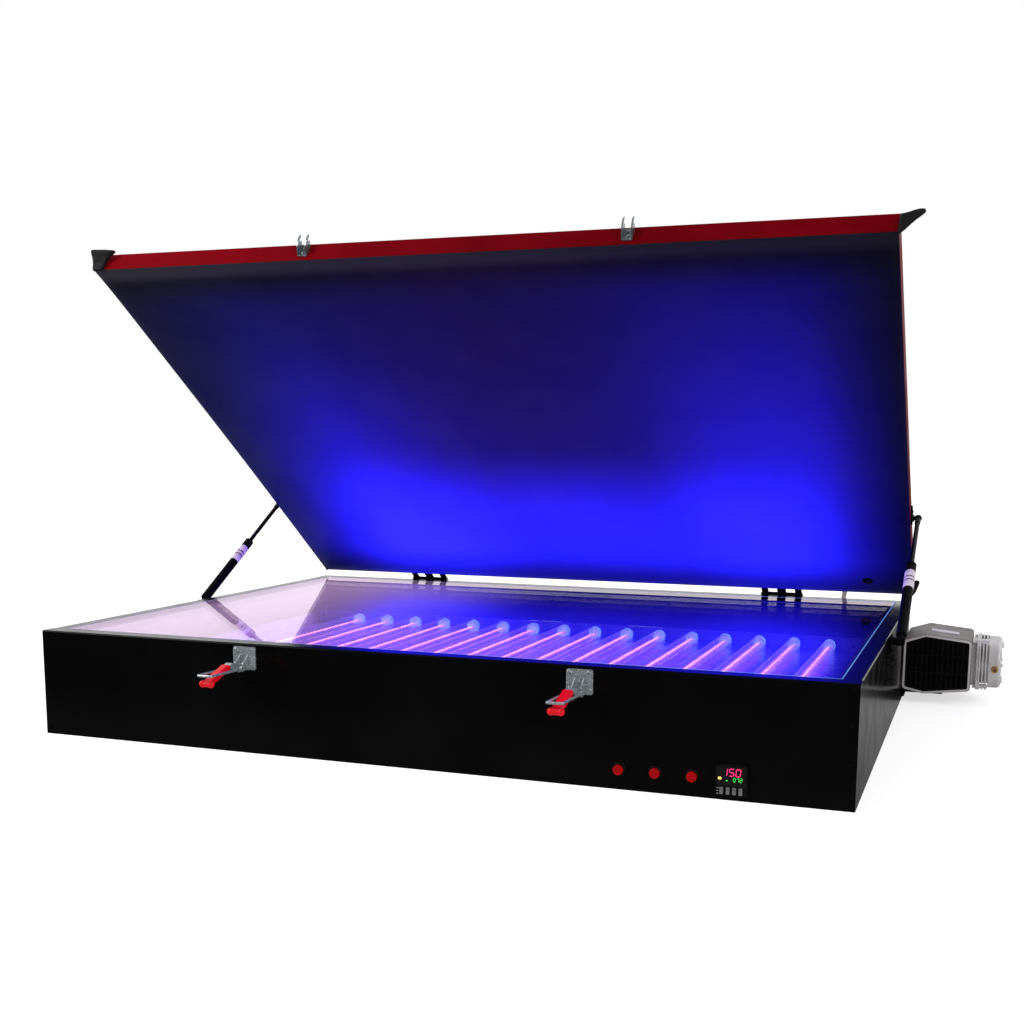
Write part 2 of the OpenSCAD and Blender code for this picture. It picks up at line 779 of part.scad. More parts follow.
// Keeper on the lid: a plate with two hooked cheeks that stand up past the tube
module latch_keepers() {
    seat_r = bail_r + 0.5;
    cheek_out = bail_half_w - bail_r - 0.9;
    lip = keeper_seat[0] - seat_r;
    root = keeper_seat[0] + seat_r;
    z = keeper_seat[1];
    color([0.75, 0.75, 0.78]) lid_pose() for (s = [-1, 1]) at_latch(s) {
        translate([0, -latch_plate_t, z - 16]) along_y(latch_plate_t)
            polygon(rounded(rect(2 * cheek_out, 24), 2));
        for (sx = [-1, 1]) translate([sx * (cheek_out - 1), 0, 0]) along_x(2) difference() {
            polygon([[0, z - 26], [-6, z - 24], [lip - 1, z - 16], [lip - 4, z - 6],
                [lip - 4.5, z + 3], [lip - 3, z + 8], [lip - 1, z + 9], [lip, z + 2],
                [root, z + 2], [root + 2, z], [0, z - 3]]);
            translate(keeper_seat) circle(r = seat_r);
            translate([lip, z]) square([2 * seat_r, 12]);
        }
        for (dz = [-21, -11]) translate([0, -latch_plate_t, z + dz])
            rotate([90, 0, 0]) button_head(3, 1.6);
    }
}

// Hinges: five knuckles, three on the lid's leaf and two on the cabinet's
knuckle_edges = [0, 0.17, 0.39, 0.61, 0.83, 1];
module knuckle(i, extra = 0) {
    a = -hinge_w / 2 + hinge_w * knuckle_edges[i] - extra;
    b = -hinge_w / 2 + hinge_w * knuckle_edges[i + 1] + extra;
    translate([(a + b) / 2, 0, 0]) along_x(b - a) children();
}
module at_hinges() {
    for (s = [-1, 1]) translate([s * hinge_x, 0, 0]) children();
}
module hinge_bolts() {
    for (p = [[-30, -14], [0, -24], [30, -14]], s = [-1, 1])
        translate([s * hinge_x + p[0], 0, axis_z + p[1]]) children();
}
// A leaf with its knuckles, in Y and Z about the pin: a plate running up or down, and an
// arm that carries the barrel clear of the cabinet
module hinge_leaf(mine, dir) {
    y = rear_y - axis_y;
    arm = [dir * (barrel_r - leaf_t - 0.8), dir * (barrel_r - 0.8)];
    difference() {
        union() {
            for (i = mine) knuckle(i, -clear / 2) circle(r = barrel_r);
            along_x(hinge_w - clear) polygon([[-barrel_r / 3, arm[0]], [y, arm[0]],
                [y, dir * leaf_len], [y + leaf_t, dir * leaf_len], [y + leaf_t, arm[1]],
                [-barrel_r / 3, arm[1]]]);
        }
        for (i = [0:4]) if (len(search(i, mine)) == 0) knuckle(i, clear / 2)
            translate([-over, dir * (barrel_r + over) / 2])
                square([2 * (barrel_gap + barrel_r), 3 * barrel_r + over], center = true);
        rod_x(hinge_pin_r + fit, hinge_w + 2 * over);
    }
}
module hinge_box_leaves() {
    color([0.02, 0.02, 0.02]) {
        at_hinges() translate([0, axis_y, axis_z]) hinge_leaf([1, 3], -1);
        hinge_bolts() translate([0, rear_y, 0]) {
            translate([0, leaf_t, 0]) rotate([-90, 0, 0]) button_head(4, 2);
            translate([0, -sheet_t - 5, 0]) rod_y(screw_r, sheet_t + 5 + leaf_t);
            translate([0, -sheet_t - 3.2, 0]) rotate([-90, 0, 0])
                cylinder(r = 4.6, h = 3.2, $fn = 6);
        }
    }
}
module hinge_lid_leaves() {
    color([0.02, 0.02, 0.02]) lid_pose() at_hinges() {
        translate([0, axis_y, axis_z]) hinge_leaf([0, 2, 4], 1);
        for (p = [[-30, 25], [0, 19], [30, 25]])
            translate([p[0], rear_y + leaf_t, axis_z + p[1]])
                rotate([-90, 0, 0]) button_head(4, 2);
    }
}
module hinge_pins() {
    color([0.6, 0.6, 0.62]) at_hinges() translate([0, axis_y, axis_z]) {
        rod_x(hinge_pin_r, hinge_w + 2);
        for (s = [-1, 1]) translate([s * (hinge_w / 2 + 1.2), 0, 0]) rod_x(4.4, 2);
    }
}

// Gas springs, one on each side, along Z from the lower pivot
module strut_box_bracket() {
    translate([side_x, strut_low[0], strut_low[1]]) {
        along_x_from(strut_plate_t) polygon(rounded([[-20, -22], [20, -22],
            [14, strut_drop - 1], [-14, strut_drop - 1]], 4));
        rotate([0, 90, 0]) cylinder(r = stud_r, h = strut_x - side_x + eye_w / 2 + 2);
        translate([strut_plate_t, 0, 0]) rotate([0, 90, 0])
            cylinder(r = stud_r + 3, h = strut_x - side_x - eye_w / 2 - strut_plate_t - clear);
        translate([strut_x - side_x + eye_w / 2 + clear, 0, 0]) rotate([0, 90, 0])
            cylinder(r = stud_r + 2, h = 2);
        for (s = [-1, 1]) translate([strut_plate_t, s * 11, -14]) rotate([0, 90, 0])
            button_head(3.8, 2.4);
    }
}
module along_x_from(len) {
    rotate([90, 0, 90]) linear_extrude(len) children();
}
module strut_box_brackets() {
    color([0.12, 0.12, 0.13]) mirrored_x() strut_box_bracket();
}
module strut_lid_plates() {
    color([0.12, 0.12, 0.13]) lid_pose() mirrored_x()
        translate([lid_x, strut_closed[0], strut_closed[1]]) {
            along_x_from(strut_plate_t) polygon(rounded([[-32, -11], [11, -11], [11, 11],
                [-32, 11]], 5));
            translate([strut_plate_t, -22, 0]) rotate([0, 90, 0]) button_head(3.8, 2);
        }
}
module strut_frame() {
    translate([strut_x, strut_low[0], strut_low[1]]) rotate([strut_angle - 90, 0, 0])
        children();
}
module strut_cylinder() {
    foot = 16;
    color([0.03, 0.03, 0.03]) strut_frame() difference() {
        union() {
            rod_x(stud_r + 4, eye_w);
            cylinder(r = 4.5, h = foot + over);
            translate([0, 0, foot]) rotate_extrude() polygon([[0, 0], [cyl_r - 3, 0],
                [cyl_r, 3], [cyl_r, cyl_len - foot - 2], [cyl_r - 2, cyl_len - foot],
                [0, cyl_len - foot]]);
        }
        rod_x(stud_r + fit, eye_w + 2 * over);
        translate([0, 0, foot + 4])
            cylinder(r = cyl_bore_r, h = cyl_len - foot - 4 - gland_len);
        translate([0, 0, cyl_len - gland_len - over])
            cylinder(r = rod_r + fit, h = gland_len + 2 * over);
    }
}
module strut_rod() {
    piston = 10;
    inner = cyl_len - gland_len - piston - 2;
    color([0.08, 0.08, 0.09]) strut_frame() {
        translate([0, 0, inner]) cylinder(r = cyl_bore_r - fit, h = piston);
        translate([0, 0, inner]) cylinder(r = rod_r, h = strut_span - inner - 8);
        translate([0, 0, strut_span - socket_len]) cylinder(r = 5.5, h = socket_len - 5);
        translate([0, 0, strut_span]) {
            sphere(r = 7.5);
            translate([strut_plate_t - strut_off + 0.3, 0, 0]) rotate([0, 90, 0])
                cylinder(r = stud_r, h = strut_off - strut_plate_t + 5);
            translate([strut_plate_t - strut_off + 0.3, 0, 0]) rotate([0, 90, 0])
                cylinder(r = stud_r + 3, h = 2.5, $fn = 6);
        }
    }
}
module strut_cylinder_left() {
    for_side(-1) strut_cylinder();
}
module strut_cylinder_right() {
    for_side(1) strut_cylinder();
}
module strut_rod_left() {
    for_side(-1) strut_rod();
}
module strut_rod_right() {
    for_side(1) strut_rod();
}

// Lid frame: square tube, mitred at the corners
module mitred_rail(len) {
    translate([0, 0, lid_z]) intersection() {
        translate([0, rail_w / 2, rail_h / 2]) difference() {
            along_x(len) polygon(rounded(rect(rail_w, rail_h), rail_r));
            along_x(len + 2 * over) polygon(rounded(rect(rail_w - 2 * rail_wall,
                rail_h - 2 * rail_wall), rail_r - rail_wall));
        }
        linear_extrude(rail_h) polygon([[-len / 2, 0], [len / 2, 0],
            [len / 2 - rail_w, rail_w], [rail_w - len / 2, rail_w]]);
    }
}
module lid_rail_front() {
    color([0.55, 0.0, 0.03]) lid_pose() translate([0, front_y, 0]) mitred_rail(2 * lid_x);
}
module lid_rail_rear() {
    color([0.55, 0.0, 0.03]) lid_pose() translate([0, rear_y, 0]) mirror([0, 1, 0])
        mitred_rail(2 * lid_x);
}
module lid_rail_side() {
    translate([lid_x, 0, 0]) rotate([0, 0, 90]) mitred_rail(box_d);
}
module lid_rail_left() {
    color([0.55, 0.0, 0.03]) lid_pose() mirror([1, 0, 0]) lid_rail_side();
}
module lid_rail_right() {
    color([0.55, 0.0, 0.03]) lid_pose() lid_rail_side();
}

// Blanket: a sheet under the whole lid, its corners pinched up into ears
port_x = side_x - 87;
port_y = rear_y - rail_w - 15;
port_r = 6;
// A corner folded up in front of the tube's end: a fin that leans out, and a gusset that
// reaches inwards along the tube
module blanket_ear(out, gusset) {
    t = 4;
    translate([0, t, 0]) rotate([90, 0, 0]) linear_extrude(t)
        polygon(rounded([[-6, 0], [4, 0], [out + 4, rail_h], [out - 3, rail_h + 6],
            [-gusset, rail_h - 1]], 2));
    block_range(-24, -2, -over, t, 0, blanket_t);
}
module blanket() {
    z = lid_z - blanket_t;
    color([0.02, 0.02, 0.1]) lid_pose() difference() {
        union() {
            translate([0, 0, z]) linear_extrude(blanket_t)
                polygon(rounded(rect(2 * lid_x, box_d), 6));
            for (sx = [0, 1], front = [0, 1]) mirror([sx, 0, 0]) mirror([0, front, 0])
                translate([lid_x, rear_y, z])
                    blanket_ear(front ? ear_reach : ear_reach * 0.3, sx * front * rail_w);
        }
        translate([port_x, port_y, z - over]) cylinder(r = port_r + fit, h = 3 * blanket_t);
        translate([port_x, port_y, z - over]) cylinder(r = 11 + fit, h = over + 1.5);
    }
}
module blanket_port() {
    z = lid_z - blanket_t;
    color([0.1, 0.1, 0.11]) lid_pose() translate([port_x, port_y, z]) difference() {
        union() {
            cylinder(r = 11, h = 1.5);
            cylinder(r = port_r, h = blanket_t + 8);
            translate([0, 0, blanket_t]) cylinder(r = 10, h = 6, $fn = 6);
            translate([0, 0, blanket_t + 7]) cylinder(r = hose_r - 1.2, h = 14);
        }
        translate([0, 0, -over]) cylinder(r = 2.2, h = 40);
    }
}

// Vacuum hose: from the blanket's port over the lid's rear tube, down behind the
// cabinet and along to the pump, in places from the cabinet's rear right corner
hose_route = [for (p = [[-87, -23, 247.8], [-87, -14, 260], [-89, 0, 275.3], [-97, 21, 282],
    [-110, 39, 274], [-124, 47, 251], [-135, 43, 224], [-141, 30, 193], [-144, 19, 162],
    [-144, 12, 130], [-143, 13, 100], [-138, 18, 72], [-122, 30, 50], [-92, 38, 36],
    [-45, 40, 28], [10, 40, 28], [65, 40, 36], [118, 34, 52], [155, 14, 68], [172, -12, 79],
    [176, -38, 84], [176, -62.7, 84]])
    [side_x, rear_y, 0] + p];
function spline(a, b, c, d, t) = 0.5 * (2 * b + (c - a) * t
    + (2 * a - 5 * b + 4 * c - d) * t * t + (3 * b - a - 3 * c + d) * t * t * t);
function spline_path(p, steps) = let (k = len(p)) concat(
    [for (i = [0:k - 2], s = [0:steps - 1]) spline(p[max(i - 1, 0)], p[i], p[i + 1],
        p[min(i + 2, k - 1)], s / steps)], [p[k - 1]]);
function tangent(p, i) = unit(p[min(i + 1, len(p) - 1)] - p[max(i - 1, 0)]);
function carried(n, t) = unit(n - t * (n * t));
function normals(p, i, n) = let (m = carried(n, tangent(p, i)))
    i >= len(p) - 1 ? [m] : concat([m], normals(p, i + 1, m));
module swept_tube(path, r, sides) {
    n = normals(path, 0, [1, 0, 0]);
    k = len(path);
    pts = [for (i = [0:k - 1], j = [0:sides - 1]) let (b = cross(tangent(path, i), n[i]),
        a = j * 360 / sides) path[i] + r * (cos(a) * n[i] + sin(a) * b)];
    faces = concat([[for (j = [sides - 1:-1:0]) j]],
        [for (i = [0:k - 2], j = [0:sides - 1]) let (q = (j + 1) % sides)
            [i * sides + j, i * sides + q, (i + 1) * sides + q, (i + 1) * sides + j]],
        [[for (j = [0:sides - 1]) (k - 1) * sides + j]]);
    polyhedron(pts, faces);
}
module vacuum_hose() {
    color([0.9, 0.82, 0.85]) swept_tube(spline_path(hose_route, 3), hose_r, 10);
}
module hose_clips() {
    clip = hose_route[9];
    color([0.85, 0.85, 0.85]) translate([clip[0], clip[1], clip[2]]) difference() {
        union() {
            translate([0, 0, -6]) cylinder(r = hose_r + 2, h = 12);
            block_range(-hose_r - 14, 0, rear_y - clip[1], rear_y - clip[1] + 2.5, -6, 6);
            block_range(-hose_r - 2, 0, rear_y - clip[1], 0, -6, 6);
        }
        translate([0, 0, -6 - over]) cylinder(r = hose_r + 0.6, h = 12 + 2 * over);
    }
}

// Pump: two moulded shells with a seal between them, a grille and a cast head
function pump_outline(inset) = [[inset, 8 + inset], [pump_cut, inset],
    [pump_w - inset, 10 + inset], [pump_w - inset, pump_h - 9 - inset],
    [pump_cut, pump_h - inset], [inset, pump_h - 13 - inset]];
module pump_slab(inset, y, len) {
    translate([pump_x, y, pump_z]) along_y(len)
        polygon(rounded(pump_outline(inset), 7 - min(inset, 5) / 2));
}
module pump_shell_front() {
    color([0.33, 0.3, 0.29]) difference() {
        union() {
            pump_slab(rim_inset, pump_y, rim_len);
            pump_slab(0, pump_y + rim_len, pump_front_len);
        }
        pump_slab(rim_inset + rim_w, pump_y - over, 40);
        // A shallow recess for a label on the top
        translate([pump_x + pump_cut, pump_y + 70, pump_z + pump_h])
            rotate([0, atan2(9, pump_w - pump_cut), 0]) translate([6, 0, -0.5])
                cube([56, 34, 3]);
    }
}
module pump_grille() {
    cols = 12;
    rows = 3;
    edge = rim_inset + rim_w;
    pitch_x = (pump_w - 2 * edge - 4) / cols;
    pitch_z = (pump_h - 2 * edge - 6) / rows;
    bar = 3;
    color([0.02, 0.02, 0.02]) difference() {
        pump_slab(edge, pump_y + 1.5, grille_t);
        intersection() {
            pump_slab(edge + 3, pump_y, grille_t + 2 * over);
            for (i = [0:cols - 1], j = [0:rows - 1])
                translate([pump_x + edge + 2 + i * pitch_x + bar / 2, pump_y - over,
                    pump_z + edge + 3 + j * pitch_z + bar / 2])
                    cube([pitch_x - bar, 10, pitch_z - bar]);
        }
    }
}
module pump_gasket() {
    color([0.02, 0.02, 0.02]) pump_slab(0, seal_y, pump_seal_t);
}
module pump_shell_rear() {
    y = seal_y + pump_seal_t;
    step = 12;
    vents = 6;
    color([0.33, 0.3, 0.29]) difference() {
        union() {
            pump_slab(0, y, pump_rear_len - step);
            pump_slab(4, y + pump_rear_len - step, step);
        }
        for (i = [0:vents - 1])
            block_range(pump_x + 24, pump_x + pump_w - 24, y + pump_rear_len - 4,
                y + pump_rear_len + over, pump_z + 26 + i * 12, pump_z + 31 + i * 12);
    }
}
module along_x_head(len) {
    translate([0, head_y, head_z]) along_x_from(len) children();
}
module pump_head() {
    color([0.68, 0.68, 0.7]) {
        translate([head_x, 0, 0]) along_x_head(neck_len)
            polygon(rounded(rect(84, 88), 8));
        translate([head_x + neck_len - 5, 0, 0]) along_x_head(5)
            polygon(rounded(rect(98, 104), 12));
        for (i = [0:fin_count - 1]) translate([head_x + neck_len + i * fin_pitch, 0, 0]) {
            along_x_head(fin_t) polygon(rounded(rect(102, 108), 26, 6));
            along_x_head(fin_pitch) circle(r = 44);
        }
        // Long screws through the head's corners
        for (a = [[1, 1], [1, -1], [-1, 1], [-1, -1]]) translate([head_x + 3,
            head_y + 41 * a[0], head_z + 44 * a[1]])
                rotate([0, 90, 0]) cylinder(r = 4.5, h = cover_x - head_x - 3, $fn = 24);
    }
}
module pump_head_cover() {
    color([0.72, 0.72, 0.74]) translate([cover_x, head_y, head_z]) rotate([0, 90, 0]) {
        rotate_extrude() polygon(concat([[0, 0], [head_r, 0], [head_r, cover_t - 12]],
            [for (i = [0:6]) [head_r - 8 + 8 * cos(i * 15), cover_t - 8 + 8 * sin(i * 15)]],
            [[head_r - 16, cover_t], [head_r - 18, cover_t - 2.5], [0, cover_t - 2.5]]));
        for (a = [30:60:359]) translate([34 * cos(a) * 1.2, 34 * sin(a) * 1.2, cover_t])
            cylinder(r = 3.2, h = 2.5, $fn = 6);
        cylinder(r = 12, h = cover_t + 0.5);
    }
}
module pump_fitting(len, barb_r, bore_r) {
    difference() {
        union() {
            rotate([90, 0, 0]) cylinder(r = 7, h = 7, $fn = 6);
            rotate([90, 0, 0]) cylinder(r = barb_r, h = len);
            translate([0, -len + 3, 0]) rotate([90, 0, 0]) cylinder(r = barb_r + 0.6, h = 1.5);
        }
        translate([0, over, 0]) rotate([90, 0, 0]) cylinder(r = bore_r, h = len + 2 * over);
    }
}
module pump_fittings() {
    color([0.8, 0.55, 0.2]) {
        translate([fitting_x, head_y - head_r - 0.3, head_z - 7]) pump_fitting(15, 4.6, 2.8);
        translate([fitting_x, head_y + head_r + 0.3, head_z]) mirror([0, 1, 0])
            pump_fitting(18, 3.8, 2.2);
    }
}
// Rubber mounts that fill the space between the shelf and the pump's sloping underside
module pump_feet() {
    color([0.03, 0.03, 0.03]) for (x = [pump_cut - 2 * foot_r, pump_cut + 3 * foot_r],
        y = shelf_y + [foot_r + 4, -foot_r - 4]) difference() {
            translate([pump_x + x, y, shelf_z]) cylinder(r = foot_r, h = 20);
            pump_slab(0, y - foot_r - over, 2 * foot_r + 2 * over);
        }
}
module pump_bracket() {
    color([0.05, 0.05, 0.05]) {
        block_range(side_x, side_x + shelf_t, shelf_y[0], shelf_y[1], 0, pump_z + 4);
        block_range(side_x, pump_x + pump_cut + 4 * foot_r + 2, shelf_y[0], shelf_y[1],
            shelf_z - shelf_t, shelf_z);
    }
}

bottom_pan();
front_panel();
rear_panel();
side_panel_left();
side_panel_right();
panel_screws();
glass_gasket();
glass_plate();
reflector_tray();
lampholders();
lamp_tubes();
tube_caps();
led_strips();
led_drivers();
timer_case();
timer_window();
timer_rocker_1();
timer_rocker_2();
timer_rocker_3();
timer_rocker_4();
button_bezels();
button_left();
button_middle();
button_right();
power_inlet();
latch_bases();
latch_handle_left();
latch_handle_right();
latch_grip_left();
latch_grip_right();
latch_bail_left();
latch_bail_right();
latch_keepers();
hinge_box_leaves();
hinge_lid_leaves();
hinge_pins();
strut_box_brackets();
strut_lid_plates();
strut_cylinder_left();
strut_cylinder_right();
strut_rod_left();
strut_rod_right();
lid_rail_front();
lid_rail_rear();
lid_rail_left();
lid_rail_right();
blanket();
blanket_port();
vacuum_hose();
hose_clips();
pump_shell_front();
pump_grille();
pump_gasket();
pump_shell_rear();
pump_head();
pump_head_cover();
pump_fittings();
pump_feet();
pump_bracket();
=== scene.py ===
"""Looks of the screen printing exposure unit: materials, rubber blanket, hose, lit lamps,
display, bare bands and plates, lights and camera. Lengths are in metres unless named in mm."""
import json
import math

import bmesh
import bpy
from mathutils import Matrix, Vector, noise

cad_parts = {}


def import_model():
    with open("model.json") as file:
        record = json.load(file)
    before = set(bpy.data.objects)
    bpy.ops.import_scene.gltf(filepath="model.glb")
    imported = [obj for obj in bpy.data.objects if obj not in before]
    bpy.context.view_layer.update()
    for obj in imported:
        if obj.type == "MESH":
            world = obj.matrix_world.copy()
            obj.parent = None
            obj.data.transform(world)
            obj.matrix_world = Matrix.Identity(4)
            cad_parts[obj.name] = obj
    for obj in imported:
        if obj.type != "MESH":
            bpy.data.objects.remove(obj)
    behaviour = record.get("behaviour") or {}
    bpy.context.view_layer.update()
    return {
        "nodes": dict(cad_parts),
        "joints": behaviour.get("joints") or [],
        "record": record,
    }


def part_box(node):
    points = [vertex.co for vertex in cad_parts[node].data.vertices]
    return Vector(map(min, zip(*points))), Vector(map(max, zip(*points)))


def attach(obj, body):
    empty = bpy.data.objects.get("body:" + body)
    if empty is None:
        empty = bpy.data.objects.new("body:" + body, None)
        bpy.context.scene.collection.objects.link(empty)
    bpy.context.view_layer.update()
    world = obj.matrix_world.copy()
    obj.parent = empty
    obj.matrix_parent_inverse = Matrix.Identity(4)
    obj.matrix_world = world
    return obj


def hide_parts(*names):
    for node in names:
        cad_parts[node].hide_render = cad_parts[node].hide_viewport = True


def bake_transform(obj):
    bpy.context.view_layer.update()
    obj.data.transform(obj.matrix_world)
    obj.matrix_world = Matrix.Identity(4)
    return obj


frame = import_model()
NODES = frame["nodes"]
JOINTS = {j["name"]: j for j in frame["joints"]}
MM = 0.001
CYLINDER_R = 9.5 * MM     # gas spring
HOSE_R = 5 * MM
LED_COUNT = 58            # light sources in each lamp
ROLL_WIDTH = 0.024        # how far in from its edge the blanket starts to curve up
ROLL_RISE = 0.85          # the height of that curve, as a share of the blanket's thickness
FLARE_WIDTH = 0.06        # how far in the blanket's left edge is drawn out
PORT_REACH = 0.03         # how far round its port the blanket is drawn up
RELIEF = 0.12 * MM        # how far the timer's digits stand out

# Camera, as fitted to the edges of the cabinet in the photograph
CAMERA_AT = Vector((0.8671, -2.3797, 0.5169))
CAMERA_YAW = -20.278
CAMERA_PITCH = -9.034
CAMERA_ROLL = 0.288
CAMERA_LENS = 46.147
CAMERA_SHIFT = 0.1348

# The lid's pose: closed coordinates turned about the hinge to the open rest pose
HINGE = Vector(JOINTS["lid_hinge"]["pos_m"])
LID_ANGLE = math.radians(JOINTS["lid_hinge"]["range_deg"][1])
LID_OPEN = (Matrix.Translation(HINGE) @ Matrix.Rotation(-LID_ANGLE, 4, "X")
            @ Matrix.Translation(-HINGE))
LID_CLOSED = LID_OPEN.inverted()


def closed_box(node):
    """Lowest and highest corner of a lid node, in the closed lid's coordinates."""
    pts = [LID_CLOSED @ v.co for v in NODES[node].data.vertices]
    low = Vector([min(p[k] for p in pts) for k in range(3)])
    high = Vector([max(p[k] for p in pts) for k in range(3)])
    return low, high


# Shader helpers

class Shader:
    """A Principled material with short calls for procedural detail."""

    def __init__(self, name, colour, roughness, metallic=0.0, specular=0.5):
        self.mat = bpy.data.materials.new(name)
        self.mat.use_nodes = True
        self.tree = self.mat.node_tree
        self.main = self.tree.nodes["Principled BSDF"]
        self.main.inputs["Base Color"].default_value = (*colour, 1)
        self.main.inputs["Roughness"].default_value = roughness
        self.main.inputs["Metallic"].default_value = metallic
        self.main.inputs["Specular IOR Level"].default_value = specular
        self.place = self.node("ShaderNodeTexCoord").outputs["Object"]

    def node(self, kind, **values):
        made = self.tree.nodes.new(kind)
        for key, value in values.items():
            setattr(made, key, value)
        return made

    def link(self, a, b):
        self.tree.links.new(a, b)

    def scaled(self, scale):
        """The object's coordinates, stretched by a scale for each axis."""
        mapping = self.node("ShaderNodeMapping")
        mapping.inputs["Scale"].default_value = scale
        self.link(self.place, mapping.inputs["Vector"])
        return mapping.outputs["Vector"]

    def noise(self, scale, detail=3.0, rough=0.5, place=None):
        made = self.node("ShaderNodeTexNoise")
        made.inputs["Scale"].default_value = scale
        made.inputs["Detail"].default_value = detail
        made.inputs["Roughness"].default_value = rough
        self.link(place or self.place, made.inputs["Vector"])
        return made.outputs["Fac"]

    def cells(self, scale):
        made = self.node("ShaderNodeTexVoronoi", feature="F1")
        made.inputs["Scale"].default_value = scale
        self.link(self.place, made.inputs["Vector"])
        return made.outputs["Distance"]

    def ranged(self, value, low, high, from_low=0.3, from_high=0.7):
        """Turns one range of values into another, and holds it at both ends."""
        made = self.node("ShaderNodeMapRange")
        made.inputs["From Min"].default_value = from_low
        made.inputs["From Max"].default_value = from_high
        made.inputs["To Min"].default_value = low
        made.inputs["To Max"].default_value = high
        self.link(value, made.inputs["Value"])
        return made.outputs["Result"]

    def mixed(self, value, a, b):
        """A colour between two others; each is a colour or another node's output."""
        made = self.node("ShaderNodeMix", data_type="RGBA")
        self.link(value, made.inputs["Factor"])
        for socket, colour in ((made.inputs[6], a), (made.inputs[7], b)):
            if isinstance(colour, tuple):
                socket.default_value = (*colour, 1)
            else:
                self.link(colour, socket)
        return made.outputs[2]

    def math(self, operation, a, b=None):
        made = self.node("ShaderNodeMath", operation=operation)
        for socket, value in zip(made.inputs, (a, b)):
            if isinstance(value, (int, float)):
                socket.default_value = value
            elif value is not None:
                self.link(value, socket)
        return made.outputs["Value"]

    def along(self, direction):
        """How far a point lies along a direction."""
        made = self.node("ShaderNodeVectorMath", operation="DOT_PRODUCT")
        self.link(self.place, made.inputs[0])
        made.inputs[1].default_value = direction
        return made.outputs["Value"]

    def eased(self, value, low, high, from_low, from_high):
        """As ranged, with a soft start and end."""
        level = self.ranged(value, 0.0, 1.0, from_low, from_high)
        smooth = self.math("MULTIPLY", self.math("MULTIPLY", level, level),
                           self.math("SUBTRACT", 3.0, self.math("MULTIPLY", level, 2.0)))
        return self.math("ADD", self.math("MULTIPLY", smooth, high - low), low)

    def coordinate(self, axis):
        """The place of a point along an axis, in metres."""
        made = self.node("ShaderNodeSeparateXYZ")
        self.link(self.place, made.inputs["Vector"])
        return made.outputs[axis]

    def colour(self, output):
        self.link(output, self.main.inputs["Base Color"])

    def roughness(self, output):
        self.link(output, self.main.inputs["Roughness"])

    def bump(self, height, strength, distance):
        made = self.node("ShaderNodeBump")
        made.inputs["Strength"].default_value = strength
        made.inputs["Distance"].default_value = distance
        self.link(height, made.inputs["Height"])
        self.link(made.outputs["Normal"], self.main.inputs["Normal"])

    def glow(self, colour, strength):
        self.main.inputs["Emission Color"].default_value = (*colour, 1)
        self.main.inputs["Emission Strength"].default_value = strength

    def lit(self, level, colour, strength):
        """Glows with a level that another node gives, in a colour or a node's colours."""
        if isinstance(colour, tuple):
            self.main.inputs["Emission Color"].default_value = (*colour, 1)
        else:
            self.link(colour, self.main.inputs["Emission Color"])
        self.link(self.math("MULTIPLY", level, strength), self.main.inputs["Emission Strength"])

    def clear(self, alpha):
        """Lets light through; alpha is a number or another node's output."""
        if isinstance(alpha, float):
            self.main.inputs["Alpha"].default_value = alpha
        else:
            self.link(alpha, self.main.inputs["Alpha"])
        self.mat.surface_render_method = "BLENDED"

    def glancing(self, low, high):
        """Schlick's curve, from low where the surface is seen square on to high at a grazing
        angle, the same on both sides of the surface."""
        made = self.node("ShaderNodeLayerWeight")
        made.inputs["Blend"].default_value = 0.5
        fifth = self.math("POWER", made.outputs["Facing"], 5.0)
        return self.math("ADD", self.math("MULTIPLY", fifth, high - low), low)

    def normal(self, axis):
        """How far the surface faces along an axis."""
        made = self.node("ShaderNodeSeparateXYZ")
        self.link(self.node("ShaderNodeTexCoord").outputs["Normal"], made.inputs["Vector"])
        return made.outputs[axis]


# Materials

def powder_coat(name, colour, roughness, specular, lighter):
    """Powder coat: fine orange peel, slight cloudiness and specks of dust."""
    s = Shader(name, colour, roughness, specular=specular)
    cloud = s.ranged(s.noise(6, 4), 0, 1, 0.35, 0.7)
    dust = s.ranged(s.noise(900, 2), 0, 0.5, 0.66, 0.8)
    s.colour(s.mixed(dust, s.mixed(cloud, colour, lighter), tuple(3 * c for c in lighter)))
    s.roughness(s.ranged(s.noise(18, 4), roughness - 0.05, roughness + 0.07))
    s.bump(s.noise(620, 2, 0.6), 0.08, 0.0004)
    return s.mat


def red_coat():
    """The lid's red powder coat, with painted shade that makes it deeper towards the right end."""
    s = Shader("red_coat", (0.16, 0.001, 0.004), 0.42, specular=0.012)
    # Painted shade: the red falls off from left to right, as if lit from the left.
    painted_shade_to_right = s.eased(s.coordinate("X"), 0.0, 1.0, -0.7, 0.25)
    base = s.mixed(painted_shade_to_right, (0.235, 0.001, 0.006), (0.13, 0.0006, 0.003))
    cloud = s.ranged(s.noise(7, 4), 0, 0.35, 0.35, 0.7)
    s.colour(s.mixed(cloud, base, (0.27, 0.002, 0.01)))
    s.roughness(s.ranged(s.noise(18, 4), 0.38, 0.5))
    s.bump(s.noise(620, 2, 0.6), 0.08, 0.0004)
    return s.mat


def rubber(name, colour, roughness, lighter):
    """Dull rubber: cloudy, with a fine grain."""
    s = Shader(name, colour, roughness, specular=0.07)
    s.colour(s.mixed(s.ranged(s.noise(14, 5), 0, 1), colour, lighter))
    s.roughness(s.ranged(s.noise(40, 4), roughness - 0.08, roughness + 0.1))
    s.bump(s.noise(1500, 3, 0.6), 0.2, 0.0004)
    return s.mat


